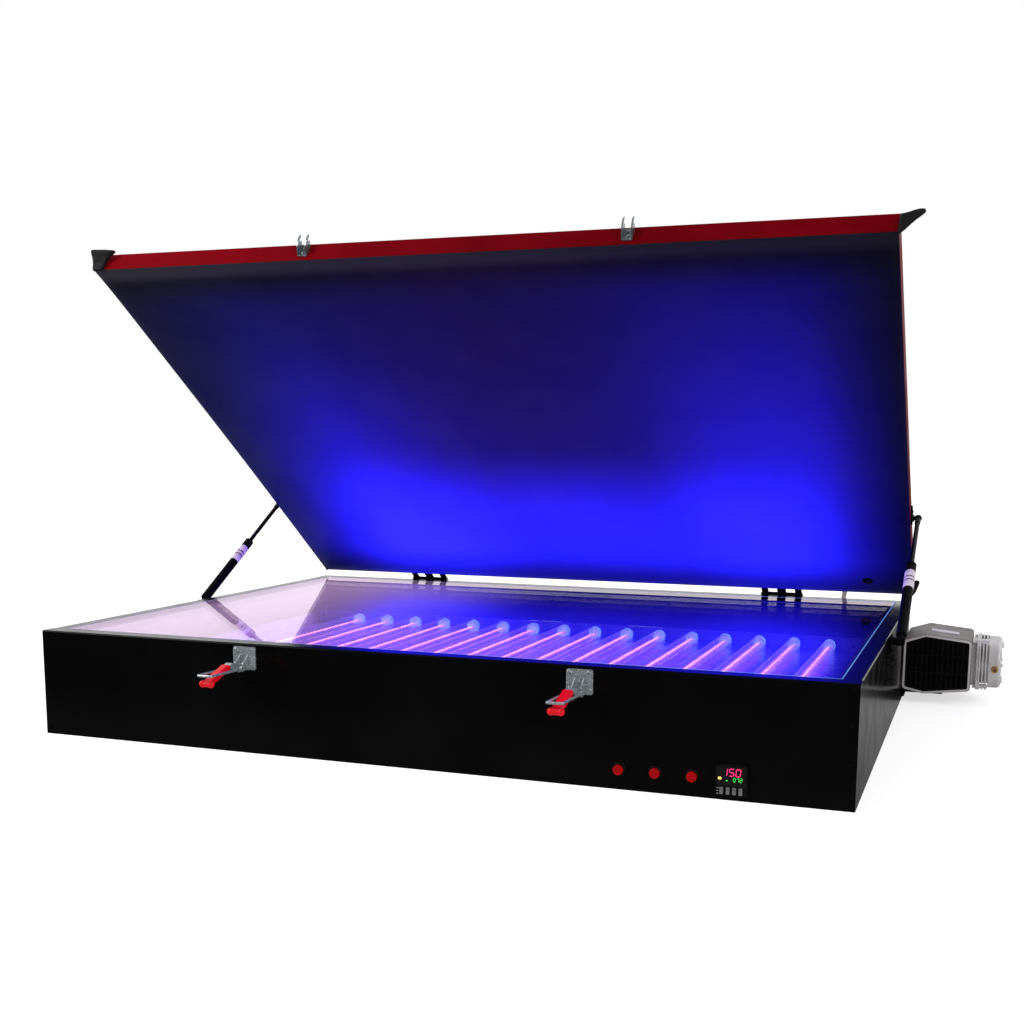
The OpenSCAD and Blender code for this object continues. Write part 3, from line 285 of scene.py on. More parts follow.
def moulded_plastic(name, colour, roughness, lighter, grain=1400, specular=0.4):
    """Moulded plastic with the fine cells of its mould's surface."""
    s = Shader(name, colour, roughness, specular=specular)
    s.colour(s.mixed(s.ranged(s.noise(25, 4), 0, 1), colour, lighter))
    s.roughness(s.ranged(s.noise(60, 3), roughness - 0.05, roughness + 0.07))
    s.bump(s.cells(grain), 0.16, 0.0004)
    return s.mat


def plated(name, colour, roughness, darker, metallic=1.0):
    """Zinc or chrome plate: mottled crystals and fine drawing marks."""
    s = Shader(name, colour, roughness, metallic=metallic)
    crystals = s.ranged(s.cells(420), 0, 1, 0.1, 0.6)
    s.colour(s.mixed(crystals, darker, colour))
    s.roughness(s.ranged(s.noise(350, 3), roughness - 0.07, roughness + 0.14))
    s.bump(s.noise(900, 3), 0.18, 0.0004)
    return s.mat


def sheet_metal(name, colour, roughness, darker):
    """Rolled metal with its grain from front to back."""
    s = Shader(name, colour, roughness, metallic=1.0)
    grain = s.noise(1.0, 3, 0.6, s.scaled((900, 6, 900)))
    s.colour(s.mixed(s.ranged(grain, 0, 1), darker, colour))
    s.roughness(s.ranged(grain, roughness - 0.05, roughness + 0.1))
    s.bump(grain, 0.05, 0.0003)
    return s.mat


def cast_metal(name, colour, roughness, darker):
    """Die-cast metal, blasted dull, with small pits."""
    s = Shader(name, colour, roughness, metallic=0.25)
    pits = s.noise(520, 5, 0.65)
    s.colour(s.mixed(s.ranged(s.noise(45, 5), 0, 1), darker, colour))
    s.roughness(s.ranged(pits, roughness - 0.08, roughness + 0.15))
    s.bump(pits, 0.5, 0.0007)
    return s.mat


def float_glass():
    """Plate glass: clear from above, a mirror at a low angle, with faint wipe marks and a painted
    lilac glow of the lamps' light towards its left end."""
    s = Shader("float_glass", (0.93, 0.92, 0.98), 0.02, metallic=1.0)
    s.colour(s.mixed(s.ranged(s.noise(3, 4), 0, 1), (1.0, 0.7, 1.0), (0.92, 0.78, 0.88)))
    s.roughness(s.ranged(s.noise(5, 5, 0.6), 0.0, 0.02))
    # Painted light: a lilac glow towards the left end, as the lamps' light seen through the glass.
    s.lit(s.eased(s.coordinate("X"), 1, 0, -0.6, 0.0), (0.8, 0.5, 0.9), 0.35)
    s.clear(s.glancing(0.02, 0.95))
    return s.mat


def lamp_glass():
    """Clear violet-tinted tubes, which glow a little along their edges."""
    s = Shader("lamp_glass", (0.3, 0.2, 0.95), 0.05, specular=0.5)
    s.colour(s.mixed(s.ranged(s.noise(30, 3), 0, 1), (0.2, 0.14, 0.9), (0.35, 0.25, 1.0)))
    s.glow((0.4, 0.24, 1.0), 0.5)
    s.clear(s.glancing(0.1, 0.75))
    return s.mat


def led_board():
    """The strip in each lamp, pink in its own light."""
    s = Shader("led_board", (0.95, 0.35, 0.8), 0.5)
    s.colour(s.mixed(s.ranged(s.noise(200, 2), 0, 1), (0.9, 0.3, 0.8), (1.0, 0.5, 0.9)))
    s.glow((1.0, 0.2, 0.85), 1.6)
    return s.mat


def lit_tray():
    """Sheet under the lamps: its base colour painted blue with the lamps' light, and lit between
    their ends, pink to the left and blue to the right.
    """
    s = Shader("reflector", (0.35, 0.33, 0.7), 0.3, metallic=0.6)
    grain = s.noise(1.0, 3, 0.6, s.scaled((4, 300, 4)))
    # Painted light: a blue base colour for the lamps' light on the sheet.
    s.colour(s.mixed(s.ranged(grain, 0, 1), (0.11, 0.09, 0.42), (0.17, 0.14, 0.52)))
    s.roughness(s.ranged(grain, 0.2, 0.35))
    tube_low, tube_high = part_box("lamp_tubes")
    middle = (tube_low + tube_high) / 2
    half = (tube_high - tube_low) / 2

    def between_ends(axis, k):
        away = s.math("ABSOLUTE", s.math("SUBTRACT", s.coordinate(axis), middle[k]))
        return s.ranged(away, 1.0, 0.03, half[k] - 0.02, half[k] + 0.03)

    across = s.math("MAXIMUM", between_ends("X", 0),
                    s.ranged(s.coordinate("X"), 0.7, 0.0, -0.6, -0.3))
    level = s.math("MULTIPLY", across, between_ends("Y", 1))
    rightwards = s.eased(s.coordinate("X"), 0, 1, -0.25, 0.3)
    s.lit(s.math("MULTIPLY", level, s.ranged(s.noise(9, 3), 0.8, 1.15)),
          s.mixed(rightwards, (0.52, 0.22, 0.95), (0.05, 0.04, 0.5)), 0.8)
    return s.mat


def lit_edge():
    """The ground edge of the glass, which the nearer lamps light from within."""
    s = Shader("glass_edge", (0.2, 0.3, 0.4), 0.3)
    s.colour(s.mixed(s.ranged(s.noise(40, 3), 0, 1), (0.16, 0.26, 0.36), (0.26, 0.36, 0.46)))
    s.lit(s.eased(s.coordinate("X"), 0.12, 0.6, -0.4, 0.66), (0.03, 0.24, 0.8), 1.0)
    return s.mat


def glowing(name, colour, strength, base):
    """A lit surface; base is its own, slightly uneven colour."""
    s = Shader(name, base, 0.4)
    s.glow(colour, strength)
    s.colour(s.mixed(s.ranged(s.noise(300, 2), 0, 1), base, tuple(0.8 * c for c in base)))
    return s.mat


def blanket_rubber():
    """Rubber under the lid, near black: a painted grey highlight along its rolled front edge,
    fading to the right, and a painted deep blue glow of the lamps' light where they reach it, which
    leaves it near black at its sides. t is the distance from its front edge, x the place across."""
    s = Shader("blanket_rubber", (0.003, 0.003, 0.006), 0.5, specular=0.06)
    high_x = closed_box("lid_rail_right")[1].x
    x = s.coordinate("X")
    down_lid = LID_CLOSED.to_3x3().transposed() @ Vector((0, 1, 0))
    from_front = -closed_box("lid_rail_front")[0].y + (LID_CLOSED @ Vector((0, 0, 0))).y
    t = s.math("ADD", s.along(down_lid), from_front)

    def lobe(middle, width):
        away = s.math("SUBTRACT", x, middle)
        return s.math("EXPONENT", s.math("MULTIPLY", s.math("MULTIPLY", away, away),
                                         -0.5 / width ** 2))

    # Painted light: the lobes and bands below paint the lamps' blue light onto the rubber as a
    # glow.
    t2 = s.math("MULTIPLY", t, t)
    left = s.math("MULTIPLY", lobe(-0.4, 0.13), s.math("MULTIPLY", t2, 1.5))
    right = s.math("MULTIPLY", lobe(0.43, 0.13), s.math("MULTIPLY", t, 0.8))
    across = s.math("MULTIPLY", s.eased(x, 0, 1, -0.66, -0.42), s.eased(x, 1, 0, 0.38, 0.63))
    low_band = s.math("MULTIPLY", s.eased(t, 0, 0.9, 0.52, 0.82), across)
    level = s.math("ADD", s.math("ADD", left, right), low_band)
    level = s.math("ADD", level, s.math("ADD", s.math("MULTIPLY", t2, 0.32), 0.06))
    sides = s.math("MULTIPLY", s.ranged(x, 0.3, 1.0, -high_x, -high_x + 0.24),
                   s.ranged(x, 1.0, 0.12, high_x - 0.14, high_x - 0.01))
    level = s.math("MULTIPLY", level, sides)
    level = s.math("MULTIPLY", level, s.eased(t, 1.0, 0.2, 0.9, 1.035))
    level = s.math("MULTIPLY", level, s.eased(t, 0.1, 1.0, 0.02, 0.12))
    flow = s.noise(2.0, 4, 0.5, s.scaled((1.6, 0.5, 0.5)))
    level = s.math("MULTIPLY", level, s.ranged(flow, 0.8, 1.2))
    underside = s.ranged(s.normal("Z"), 1.0, 0.0, -0.76, -0.5)
    s.lit(s.math("MULTIPLY", level, underside), (0.014, 0.012, 1.0), 1.0)
    sheet = s.mixed(s.ranged(s.noise(14, 5), 0, 1), (0.003, 0.003, 0.005), (0.006, 0.006, 0.009))
    # Painted highlight: the rolled front edge is painted grey, weaker to the right.
    roll = s.math("MULTIPLY", s.eased(t, 1.0, 0.0, 0.012, 0.04), s.ranged(x, 1.0, 0.3, -0.6, 0.5))
    s.colour(s.mixed(roll, sheet, (0.034, 0.034, 0.036)))
    s.roughness(s.ranged(s.noise(9, 5), 0.4, 0.55))
    s.bump(s.noise(700, 3, 0.6), 0.12, 0.0004)
    return s.mat


def pump_casting():
    """The pump's shells, with a painted bright highlight on the rim round the front grille."""
    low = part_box("pump_shell_front")[0]
    s = Shader("pump_shell", (0.13, 0.105, 0.1), 0.38, specular=0.16)
    body = s.mixed(s.ranged(s.noise(25, 4), 0, 1), (0.12, 0.098, 0.092), (0.17, 0.14, 0.13))
    # Painted highlight: a bright band along the front edge round the grille.
    rim = s.ranged(s.coordinate("Y"), 1.0, 0.0, low.y + 0.0055, low.y + 0.0062)
    s.colour(s.mixed(rim, body, (0.62, 0.58, 0.58)))
    s.roughness(s.ranged(s.noise(60, 3), 0.33, 0.45))
    s.bump(s.cells(900), 0.16, 0.0004)
    return s.mat


def clear_vinyl():
    """The hose's cloudy clear wall."""
    s = Shader("clear_vinyl", (0.88, 0.74, 0.78), 0.25, specular=0.5)
    s.colour(s.mixed(s.ranged(s.noise(60, 3), 0, 1), (0.85, 0.7, 0.75), (0.95, 0.86, 0.88)))
    s.clear(0.75)
    return s.mat


MATERIALS = {
    "black_coat": powder_coat("black_coat", (0.002, 0.002, 0.002), roughness=0.14,
                              specular=0.08, lighter=(0.0035, 0.0035, 0.004)),
    "black_steel": powder_coat("black_steel", (0.003, 0.003, 0.004), roughness=0.34,
                               specular=0.02, lighter=(0.005, 0.005, 0.006)),
    "red_coat": red_coat(),
    "black_rubber": rubber("black_rubber", (0.009, 0.009, 0.01), 0.5, (0.015, 0.015, 0.016)),
    "float_glass": float_glass(),
    "reflector": lit_tray(),
    "lamp_tube": lamp_glass(),
    "lamp_cap": glowing("lamp_cap", (0.35, 0.75, 1.0), 0.9, base=(0.8, 0.9, 0.95)),
    "led_board": led_board(),
    # Painted light: this white plastic is given a lilac colour for the lamps' light on it.
    "white_plastic": moulded_plastic("white_plastic", (0.35, 0.33, 0.6), 0.4,
                                     (0.45, 0.42, 0.7)),
    "driver_case": sheet_metal("driver_case", (0.6, 0.6, 0.62), 0.35, (0.5, 0.5, 0.52)),
    "black_plastic": moulded_plastic("black_plastic", (0.003, 0.003, 0.003), 0.4,
                                     (0.005, 0.005, 0.006), specular=0.12),
    "display": moulded_plastic("display", (0.002, 0.002, 0.003), 0.08, (0.004, 0.004, 0.005),
                               grain=60, specular=0.5),
    "grey_key": moulded_plastic("grey_key", (0.15, 0.14, 0.14), 0.45, (0.22, 0.21, 0.21)),
    "red_cap": moulded_plastic("red_cap", (0.42, 0.0006, 0.002), 0.28, (0.5, 0.001, 0.004),
                               grain=300, specular=0.12),
    "zinc": plated("zinc", (0.62, 0.68, 0.71), 0.2, (0.16, 0.19, 0.21), metallic=0.6),
    "red_vinyl": moulded_plastic("red_vinyl", (0.85, 0.002, 0.008), 0.3, (0.95, 0.006, 0.02),
                                 grain=240, specular=0.3),
    "pin_steel": sheet_metal("pin_steel", (0.55, 0.55, 0.57), 0.3, (0.4, 0.4, 0.42)),
    "rod_steel": plated("rod_steel", (0.014, 0.012, 0.013), 0.3, (0.008, 0.007, 0.008)),
    "clear_hose": clear_vinyl(),
    "pump_shell": pump_casting(),
    "cast_aluminium": cast_metal("cast_aluminium", (0.84, 0.82, 0.82), 0.3,
                                 (0.6, 0.58, 0.59)),
    "brass": plated("brass", (0.85, 0.5, 0.2), 0.28, (0.6, 0.36, 0.13)),
}

# Materials of the pieces that only the looks have
LED = glowing("led", (1.0, 0.56, 0.82), 5.5, base=(1.0, 0.7, 0.9))
DIGIT_RED = glowing("digit_red", (1.0, 0.02, 0.16), 1.6, base=(0.6, 0.02, 0.1))
DIGIT_GREEN = glowing("digit_green", (0.05, 1.0, 0.08), 1.1, base=(0.05, 0.5, 0.05))
LAMP_ORANGE = glowing("lamp_orange", (1.0, 0.45, 0.1), 1.6, base=(0.9, 0.4, 0.1))
PRINT_GREY = moulded_plastic("print_grey", (0.3, 0.28, 0.28), 0.5, (0.4, 0.38, 0.38))
LABEL = moulded_plastic("label", (0.78, 0.62, 0.85), 0.4, (0.9, 0.8, 0.93), grain=300)
# Painted shade: a near-black plate for the dark inside of the pump behind its grille.
GRILLE_SHADE = moulded_plastic("filter_foam", (0.003, 0.003, 0.004), 0.9, (0.006, 0.006, 0.007),
                       grain=500, specular=0.05)
BLANKET = blanket_rubber()
GLASS_EDGE = lit_edge()
# Painted shade: a darker copy of the zinc for the latch keepers.
ZINC_SHADED = plated("keeper_zinc", (0.32, 0.36, 0.38), 0.25, (0.08, 0.09, 0.1), metallic=0.8)


def dress_nodes():
    """Gives every CAD node the material of its slot in the record, and the latch keepers a darker
    copy of the zinc, as painted shade."""
    for part in frame["record"]["subparts"]:
        node = NODES[part["node"]]
        node.data.materials.clear()
        node.data.materials.append(MATERIALS[part["material_slot"]])
    NODES["latch_keepers"].data.materials[0] = ZINC_SHADED


# Mesh helpers

def piece(name, bm, material, body, smooth=True):
    """Turns a bmesh into an object that rides on a body."""
    mesh = bpy.data.meshes.new(name)
    bmesh.ops.recalc_face_normals(bm, faces=bm.faces)
    bm.to_mesh(mesh)
    bm.free()
    mesh.materials.append(material)
    obj = bpy.data.objects.new(name, mesh)
    bpy.context.scene.collection.objects.link(obj)
    if smooth:
        mesh.shade_smooth()
    if body:
        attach(obj, body)
    return obj


def strip(a, b):
    """The four-sided faces between two closed rings of points."""
    n = len(a)
    return [(a[k], a[(k + 1) % n], b[(k + 1) % n], b[k]) for k in range(n)]


def add_strips(bm, rings):
    """Joins each ring to the next one."""
    for a, b in zip(rings, rings[1:]):
        for face in strip(a, b):
            bm.faces.new(face)


def add_prism(bm, bottom, top):
    """A closed solid between two rings."""
    bm.faces.new(top)
    bm.faces.new(bottom[::-1])
    add_strips(bm, [bottom, top])


def add_box(bm, low, high):
    low, high = Vector(low), Vector(high)
    size = Matrix.Diagonal((*(high - low), 1))
    bmesh.ops.create_cube(bm, size=1, matrix=Matrix.Translation((low + high) / 2) @ size)


def add_tube(bm, path, radius, sides):
    """Sweeps a closed tube along the points of a path, without twist."""
    path = [Vector(p) for p in path]
    normal = None
    rings = []
    for i, p in enumerate(path):
        ahead = path[min(i + 1, len(path) - 1)] - path[max(i - 1, 0)]
        ahead.normalize()
        if normal is None:
            normal = ahead.orthogonal().normalized()
        normal = (normal - ahead * normal.dot(ahead)).normalized()
        side = ahead.cross(normal)
        rings.append([bm.verts.new(p + radius * (math.cos(a) * normal + math.sin(a) * side))
                      for a in (2 * math.pi * k / sides for k in range(sides))])
    add_strips(bm, rings)
    bm.faces.new(rings[0])
    bm.faces.new(reversed(rings[-1]))


def add_turned(bm, profile, place, sides):
    """Turns a profile of (radius, height) points about the local Z axis."""
    angles = [2 * math.pi * k / sides for k in range(sides)]
    add_strips(bm, [[bm.verts.new(place @ Vector((r * math.cos(a), r * math.sin(a), h)))
                     for a in angles] for r, h in profile])


def curved(a, b, c, d, steps):
    """Points from b up to c, on the smooth curve that also passes through a and d."""
    return [0.5 * (2 * b + (c - a) * t + (2 * a - 5 * b + 4 * c - d) * t * t
                   + (3 * b - a - 3 * c + d) * t ** 3)
            for t in (k / steps for k in range(steps))]


def spline(points, steps):
    """A smooth curve through the points."""
    points = [Vector(p) for p in points]
    made = []
    last = len(points) - 1
    for i in range(last):
        made += curved(points[max(i - 1, 0)], points[i], points[i + 1],
                       points[min(i + 2, last)], steps)
    return made + [points[last]]


def closed_spline(points, steps):
    """A smooth closed curve through points in a plane."""
    n, made = len(points), []
    for i in range(n):
        a, b, c, d = (Vector(points[(i + k) % n]) for k in (-1, 0, 1, 2))
        made += curved(a, b, c, d, steps)
    return made


# Rubber blanket and its folded corners

def meshed(name, verts, faces, material, body, sharp=None):
    """An object from plain lists of points and faces."""
    mesh = bpy.data.meshes.new(name)
    mesh.from_pydata(verts, [], faces)
    mesh.materials.append(material)
    mesh.shade_smooth()
    if sharp:
        mesh.set_sharp_from_angle(angle=math.radians(sharp))
    obj = bpy.data.objects.new(name, mesh)
    bpy.context.scene.collection.objects.link(obj)
    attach(obj, body)
    return obj


def rolled(edge, width, height):
    """How far the underside has curved up at a distance from the sheet's edge."""
    if edge >= width:
        return 0.0
    return height * (1 - math.sqrt(max(0.0, 1 - (1 - edge / width) ** 2)))


def spread(k, n, half):
    """The place of line k of n, closer together near the edges, where the sheet curves."""
    u = 2 * k / n - 1
    return half * (0.7 * u + 0.3 * math.sin(math.pi * u / 2))


def blanket_edges():
    """Half the sheet's width and depth, and the height of its underside, with the lid closed."""
    return (closed_box("lid_rail_right")[1].x, -closed_box("lid_rail_front")[0].y,
            closed_box("blanket")[0].z)


def slack(x, y, to_side_x, to_side_y):
    """Slow and fine waves in the sheet, and the fold that runs in from each corner."""
    waves = noise.noise(Vector((x * 1.3 + 5, y * 2.6, 0.3)))
    fine = noise.noise(Vector((x * 4 + 1, y * 9, 2.7)))
    corner = math.hypot(to_side_x, to_side_y)
    slant = abs(to_side_x - 1.4 * to_side_y)
    return (1.3 * MM * max(0.0, waves) + 0.5 * MM * max(0.0, fine)
            + 1.2 * MM * math.exp(-(slant / 0.02) ** 2) * math.exp(-corner / 0.12))


def flare(from_front):
    """How far the sheet's left edge stands out: most at the front corner."""
    return (6 * MM * math.exp(-from_front / 0.05)
            + 11 * MM * math.exp(-(from_front / 0.42) ** 2))


def blanket():
    """The sheet, in the closed lid's coordinates until each point is turned with the lid."""
    half_x, half_y, under = blanket_edges()
    top = closed_box("lid_rail_front")[0].z
    port_low, port_high = closed_box("blanket_port")
    port = (port_low + port_high) / 2
    tallest = (top - under) * ROLL_RISE
    nx, ny = 150, 112
    rows, verts = [], []
    for j in range(ny + 1):
        y = spread(j, ny, half_y)
        to_side_y = half_y - abs(y)
        left_edge_out = flare(y + half_y)
        row = []
        for i in range(nx + 1):
            x = spread(i, nx, half_x)
            to_side_x = half_x - abs(x)
            edge = min(to_side_x, to_side_y)
            inside = min(1.0, edge / 0.05)
            lift = (slack(x, y, to_side_x, to_side_y) * inside
                    + rolled(edge, ROLL_WIDTH, tallest))
            near_port = math.hypot(x - port.x, y - port.y)
            if near_port < PORT_REACH:
                lift = max(lift, 0.8 * MM * (1 - near_port / PORT_REACH) ** 0.3)
            out = left_edge_out * max(0.0, 1 - to_side_x / FLARE_WIDTH) ** 2 if x < 0 else 0.0
            row.append(len(verts))
            verts.append(LID_OPEN @ Vector((x - out, y, under + min(lift, tallest))))
        rows.append(row)
    faces = [(rows[j][i], rows[j + 1][i], rows[j + 1][i + 1], rows[j][i + 1])
             for j in range(ny) for i in range(nx)]
    rim = rows[0] + [r[-1] for r in rows[1:]] + rows[-1][-2::-1] + [r[0] for r in rows[-2:0:-1]]
    start = len(verts)
    for k in rim:
        p = LID_CLOSED @ verts[k]
        verts.append(LID_OPEN @ Vector((p.x, p.y, top)))
    upper = range(start, len(verts))
    faces += strip(rim, upper)
    faces.append(tuple(upper))
    obj = meshed("blanket_sheet", verts, faces, BLANKET, "lid", 50)
    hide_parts("blanket")


def fin(name, outline, corner, thickness, lean):
    """A folded corner: an outline in X and Z filled like a pillow, leaning towards its tip."""
    curve = closed_spline(outline, 6)
    middle = sum(curve, Vector((0, 0))) / len(curve)
    tallest = max(p.y for p in curve)
    layers = ((0.97, 0.55), (0.88, 0.85), (0.7, 1.0), (0.35, 0.8))
    verts, faces = [], []

    def ring(scale, y):
        start = len(verts)
        for p in curve:
            q = middle + (p - middle) * scale
            forward = lean * (max(0.0, p.y) / tallest) ** 1.5
            verts.append(LID_OPEN @ (corner + MM * Vector((q.x, y - forward, q.y))))
        return range(start, len(verts))

    edge = ring(1.0, 0.0)
    for sign in (-1, 1):
        last = edge
        for scale, depth in layers:
            now = ring(scale, sign * depth * thickness / 2)
            faces += [quad[::sign] for quad in strip(last, now)]
            last = now
        faces.append(tuple(last)[::sign])
    obj = meshed(name, verts, faces, MATERIALS["black_rubber"], "lid")
    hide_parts("blanket")


def blanket_corners():
    """The four ears. Their outlines are in mm, from the lid's corner at the blanket's underside."""
    half_x, half_y, under = blanket_edges()
    left = [(4, -3), (-14, -2), (-19, 11), (-23, 22), (-28, 32), (-30, 38), (-27, 40.5),
            (-16, 40), (-2, 39.5), (10, 38.5), (24, 36), (15, 28), (9, 18), (6, 5)]
    right = [(0, -4), (6, 1), (13, 10), (22, 21), (32, 31), (36, 36), (34, 39.5), (28, 40),
             (20, 38), (12, 35), (5, 33), (0, 31), (-1, 18), (-1, 4)]
    rear = [(-2, 1), (2, 5), (6, 14), (9, 26), (11, 36), (8, 41), (2, 41), (-3, 38), (-4, 20)]
    for name, outline, x, y, thickness, lean in (
            ("blanket_corner_front_left", left, -half_x, -half_y, 7.0, 9.0),
            ("blanket_corner_front_right", right, half_x, -half_y, 7.0, 2.0),
            ("blanket_corner_rear_left", [(-p[0], p[1]) for p in rear][::-1], -half_x, half_y,
             5.0, -3.0),
            ("blanket_corner_rear_right", rear, half_x, half_y, 5.0, -3.0)):
        outward = -1 if y < 0 else 1
        corner = Vector((x, y + outward * thickness / 2 * MM, under))
        fin(name, outline, corner, thickness, lean)


# Vacuum hose: its route from the cabinet's rear right corner, in mm

HOSE_ROUTE = [
    (-87, -23, 247.8), (-87, -14, 260), (-89, 0, 275.3), (-97, 21, 282), (-110, 39, 274),
    (-124, 47, 251), (-135, 43, 224), (-141, 30, 193), (-144, 19, 162), (-144, 12, 130),
    (-143, 13, 100), (-138, 18, 72), (-122, 30, 50), (-92, 38, 36), (-45, 40, 28), (10, 40, 28),
    (65, 40, 36), (118, 34, 52), (155, 14, 68), (172, -12, 79), (176, -38, 84),
    (176, -62.7, 84)]


def vacuum_hose():
    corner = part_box("rear_panel")[1]
    start = Vector((corner.x, corner.y, 0))
    path = spline([start + MM * Vector(p) for p in HOSE_ROUTE], 8)
    bm = bmesh.new()
    add_tube(bm, path, HOSE_R, 20)
    obj = piece("hose", bm, MATERIALS["clear_hose"], None)
    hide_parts("vacuum_hose")
    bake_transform(obj)


# Lamps

def strip_places():
    """The middle of each lamp's strip across the cabinet."""
    xs = sorted({round(v.co.x, 4) for v in NODES["led_strips"].data.vertices})
    groups = [[xs[0]]]
    widest_strip = 0.03
    for x in xs[1:]:
        if x - groups[-1][-1] < widest_strip:
            groups[-1].append(x)
        else:
            groups.append([x])
    return [(g[0] + g[-1]) / 2 for g in groups]


def led_packages():
    """The rows of small light sources on the strips."""
    low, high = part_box("led_strips")
    pitch = (high.y - low.y) / LED_COUNT
    half_wide, half_long, sunk, proud = 2.2 * MM, 3.4 * MM, 0.2 * MM, 0.9 * MM
    bm = bmesh.new()
    for x in strip_places():
        for k in range(LED_COUNT):
            y = low.y + (k + 0.5) * pitch
            add_box(bm, (x - half_wide, y - half_long, high.z - sunk),
                    (x + half_wide, y + half_long, high.z + proud))
    bmesh.ops.bevel(bm, geom=[e for e in bm.edges if all(v.co.z > high.z for v in e.verts)],
                    offset=0.4 * MM, segments=1, affect="EDGES")
    piece("led_packages", bm, LED, "cabinet", smooth=False)


# Timer display

# The lit segments of each digit
SEGMENTS = {"0": "abcdef", "1": "bc", "2": "abged", "5": "afgcd", "7": "abc"}
# Each segment's place: across, half heights up, and 1 if it is upright
PLACES = {"a": (0.5, 2, 0), "g": (0.5, 1, 0), "d": (0.5, 0, 0),
          "f": (0, 1.5, 1), "b": (1, 1.5, 1), "e": (0, 0.5, 1), "c": (1, 0.5, 1)}


def add_plate(bm, outline, y, depth):
    """A thin plate that stands out to the front, from an outline in X and Z."""
    add_prism(bm, [bm.verts.new((x, y, z)) for x, z in outline],
              [bm.verts.new((x, y - depth, z)) for x, z in outline])


def add_digits(bm, text, x, z, width, height, pitch, y):
    """Seven-segment digits; x and z are the lower left corner of the first one."""
    stroke = height * 0.13
    lean = 0.1
    for n, sign in enumerate(text):
        for name in SEGMENTS[sign]:
            across, up, upright = PLACES[name]
            cx, cz = x + n * pitch + across * width, z + up * height / 2
            half = (height / 4 if upright else width / 2) - stroke * 0.15
            tip, side = half - stroke / 2, stroke / 2
            shape = [(-half, 0), (-tip, side), (tip, side), (half, 0), (tip, -side), (-tip, -side)]
            if upright:
                shape = [(-b, a) for a, b in shape]
            add_plate(bm, [(cx + a + (cz + b - z) * lean, cz + b) for a, b in shape], y, RELIEF)


def rounded_rect(x0, z0, x1, z1, r, steps=4):
    """The outline of a rectangle with round corners."""
    corners = ((x1 - r, z1 - r, 0), (x0 + r, z1 - r, 90),
               (x0 + r, z0 + r, 180), (x1 - r, z0 + r, 270))
    return [(cx + r * math.cos(math.radians(a + 90 * k / steps)),
             cz + r * math.sin(math.radians(a + 90 * k / steps)))
            for cx, cz, a in corners for k in range(steps + 1)]


def timer_display():
    """Plain numbers, a lamp and bare marks. The heights are from the window's upper edge."""
    low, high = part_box("timer_window")
    y, width = low.y, high.x - low.x
    bm = bmesh.new()
    add_digits(bm, "150", low.x + 0.19 * width, high.z - 13.6 * MM, width=6.3 * MM,
               height=10.5 * MM, pitch=9.7 * MM, y=y)
    piece("digits_red", bm, DIGIT_RED, "cabinet", smooth=False)
    bm = bmesh.new()
    add_digits(bm, "072", low.x + 0.57 * width, high.z - 21.6 * MM, width=3.0 * MM,
               height=5.3 * MM, pitch=4.8 * MM, y=y)
    add_plate(bm, rounded_rect(low.x + 0.31 * width, high.z - 21.3 * MM, low.x + 0.38 * width,
                               high.z - 20.3 * MM, 0.4 * MM), y, RELIEF)
    piece("digits_green", bm, DIGIT_GREEN, "cabinet", smooth=False)
    bm = bmesh.new()
    add_plate(bm, rounded_rect(low.x + 1.5 * MM, high.z - 19.6 * MM, low.x + 6.5 * MM,
                               high.z - 15.9 * MM, 1.0 * MM), y, 0.15 * MM)
    piece("timer_lamp", bm, LAMP_ORANGE, "cabinet", smooth=False)
    # Bare marks beside the keys
    case_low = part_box("timer_case")[0]
    key_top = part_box("timer_rocker_1")[1].z
    bm = bmesh.new()
    for k in range(3):
        z = key_top - (1.5 + 4.2 * k) * MM
        add_plate(bm, rounded_rect(case_low.x + 3.0 * MM, z - 0.7 * MM, case_low.x + 5.8 * MM,
                                   z + 0.5 * MM, 0.3 * MM), case_low.y, 0.08 * MM)
    piece("timer_marks", bm, PRINT_GREY, "cabinet", smooth=False)


# Bare bands and plates

def strut_sleeves():
    """Bare pale bands round each gas spring's cylinder, at shares of its length."""
    bands = ((0.66, 0.745), (0.757, 0.79), (0.802, 0.88))
    proud, slope = CYLINDER_R + 0.25 * MM, 0.2 * MM
    for side in ("left", "right"):
        joint = JOINTS["strut_pivot_" + side]
        foot = Vector(joint["pos_m"])
        up = -Vector(JOINTS["strut_slide_" + side]["axis"])
        far = max((v.co - foot).dot(up) for v in NODES["strut_cylinder_" + side].data.vertices)
        place = Matrix.Translation(foot) @ up.to_track_quat("Z", "Y").to_matrix().to_4x4()
        bm = bmesh.new()
        for start, end in bands:
            a, b = start * far, end * far
            add_turned(bm, [(CYLINDER_R, a), (proud, a + slope), (proud, b - slope),
                            (CYLINDER_R, b)], place, 40)
        obj = piece("strut_band_" + side, bm, LABEL, "strut_cylinder_" + side)


def pump_label():
    """A bare plate in the shallow recess on top of the pump."""
    low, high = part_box("pump_shell_front")
    thickness = 0.45 * MM
    bm = bmesh.new()
    # The top falls by 9 mm from 42 mm to 130 mm across the pump
    angle = math.atan2(9, 130 - 42)
    place = (Matrix.Translation((low.x + 42 * MM, low.y + 70 * MM, high.z))
             @ Matrix.Rotation(angle, 4, "Y") @ Matrix.Translation((6 * MM, 0, -0.5 * MM)))
    outline = rounded_rect(1 * MM, 1 * MM, 55 * MM, 33 * MM, 2 * MM)
    add_prism(bm, [bm.verts.new(place @ Vector((x, y, 0))) for x, y in outline],
              [bm.verts.new(place @ Vector((x, y, thickness))) for x, y in outline])
    piece("pump_label", bm, LABEL, "cabinet", smooth=False)


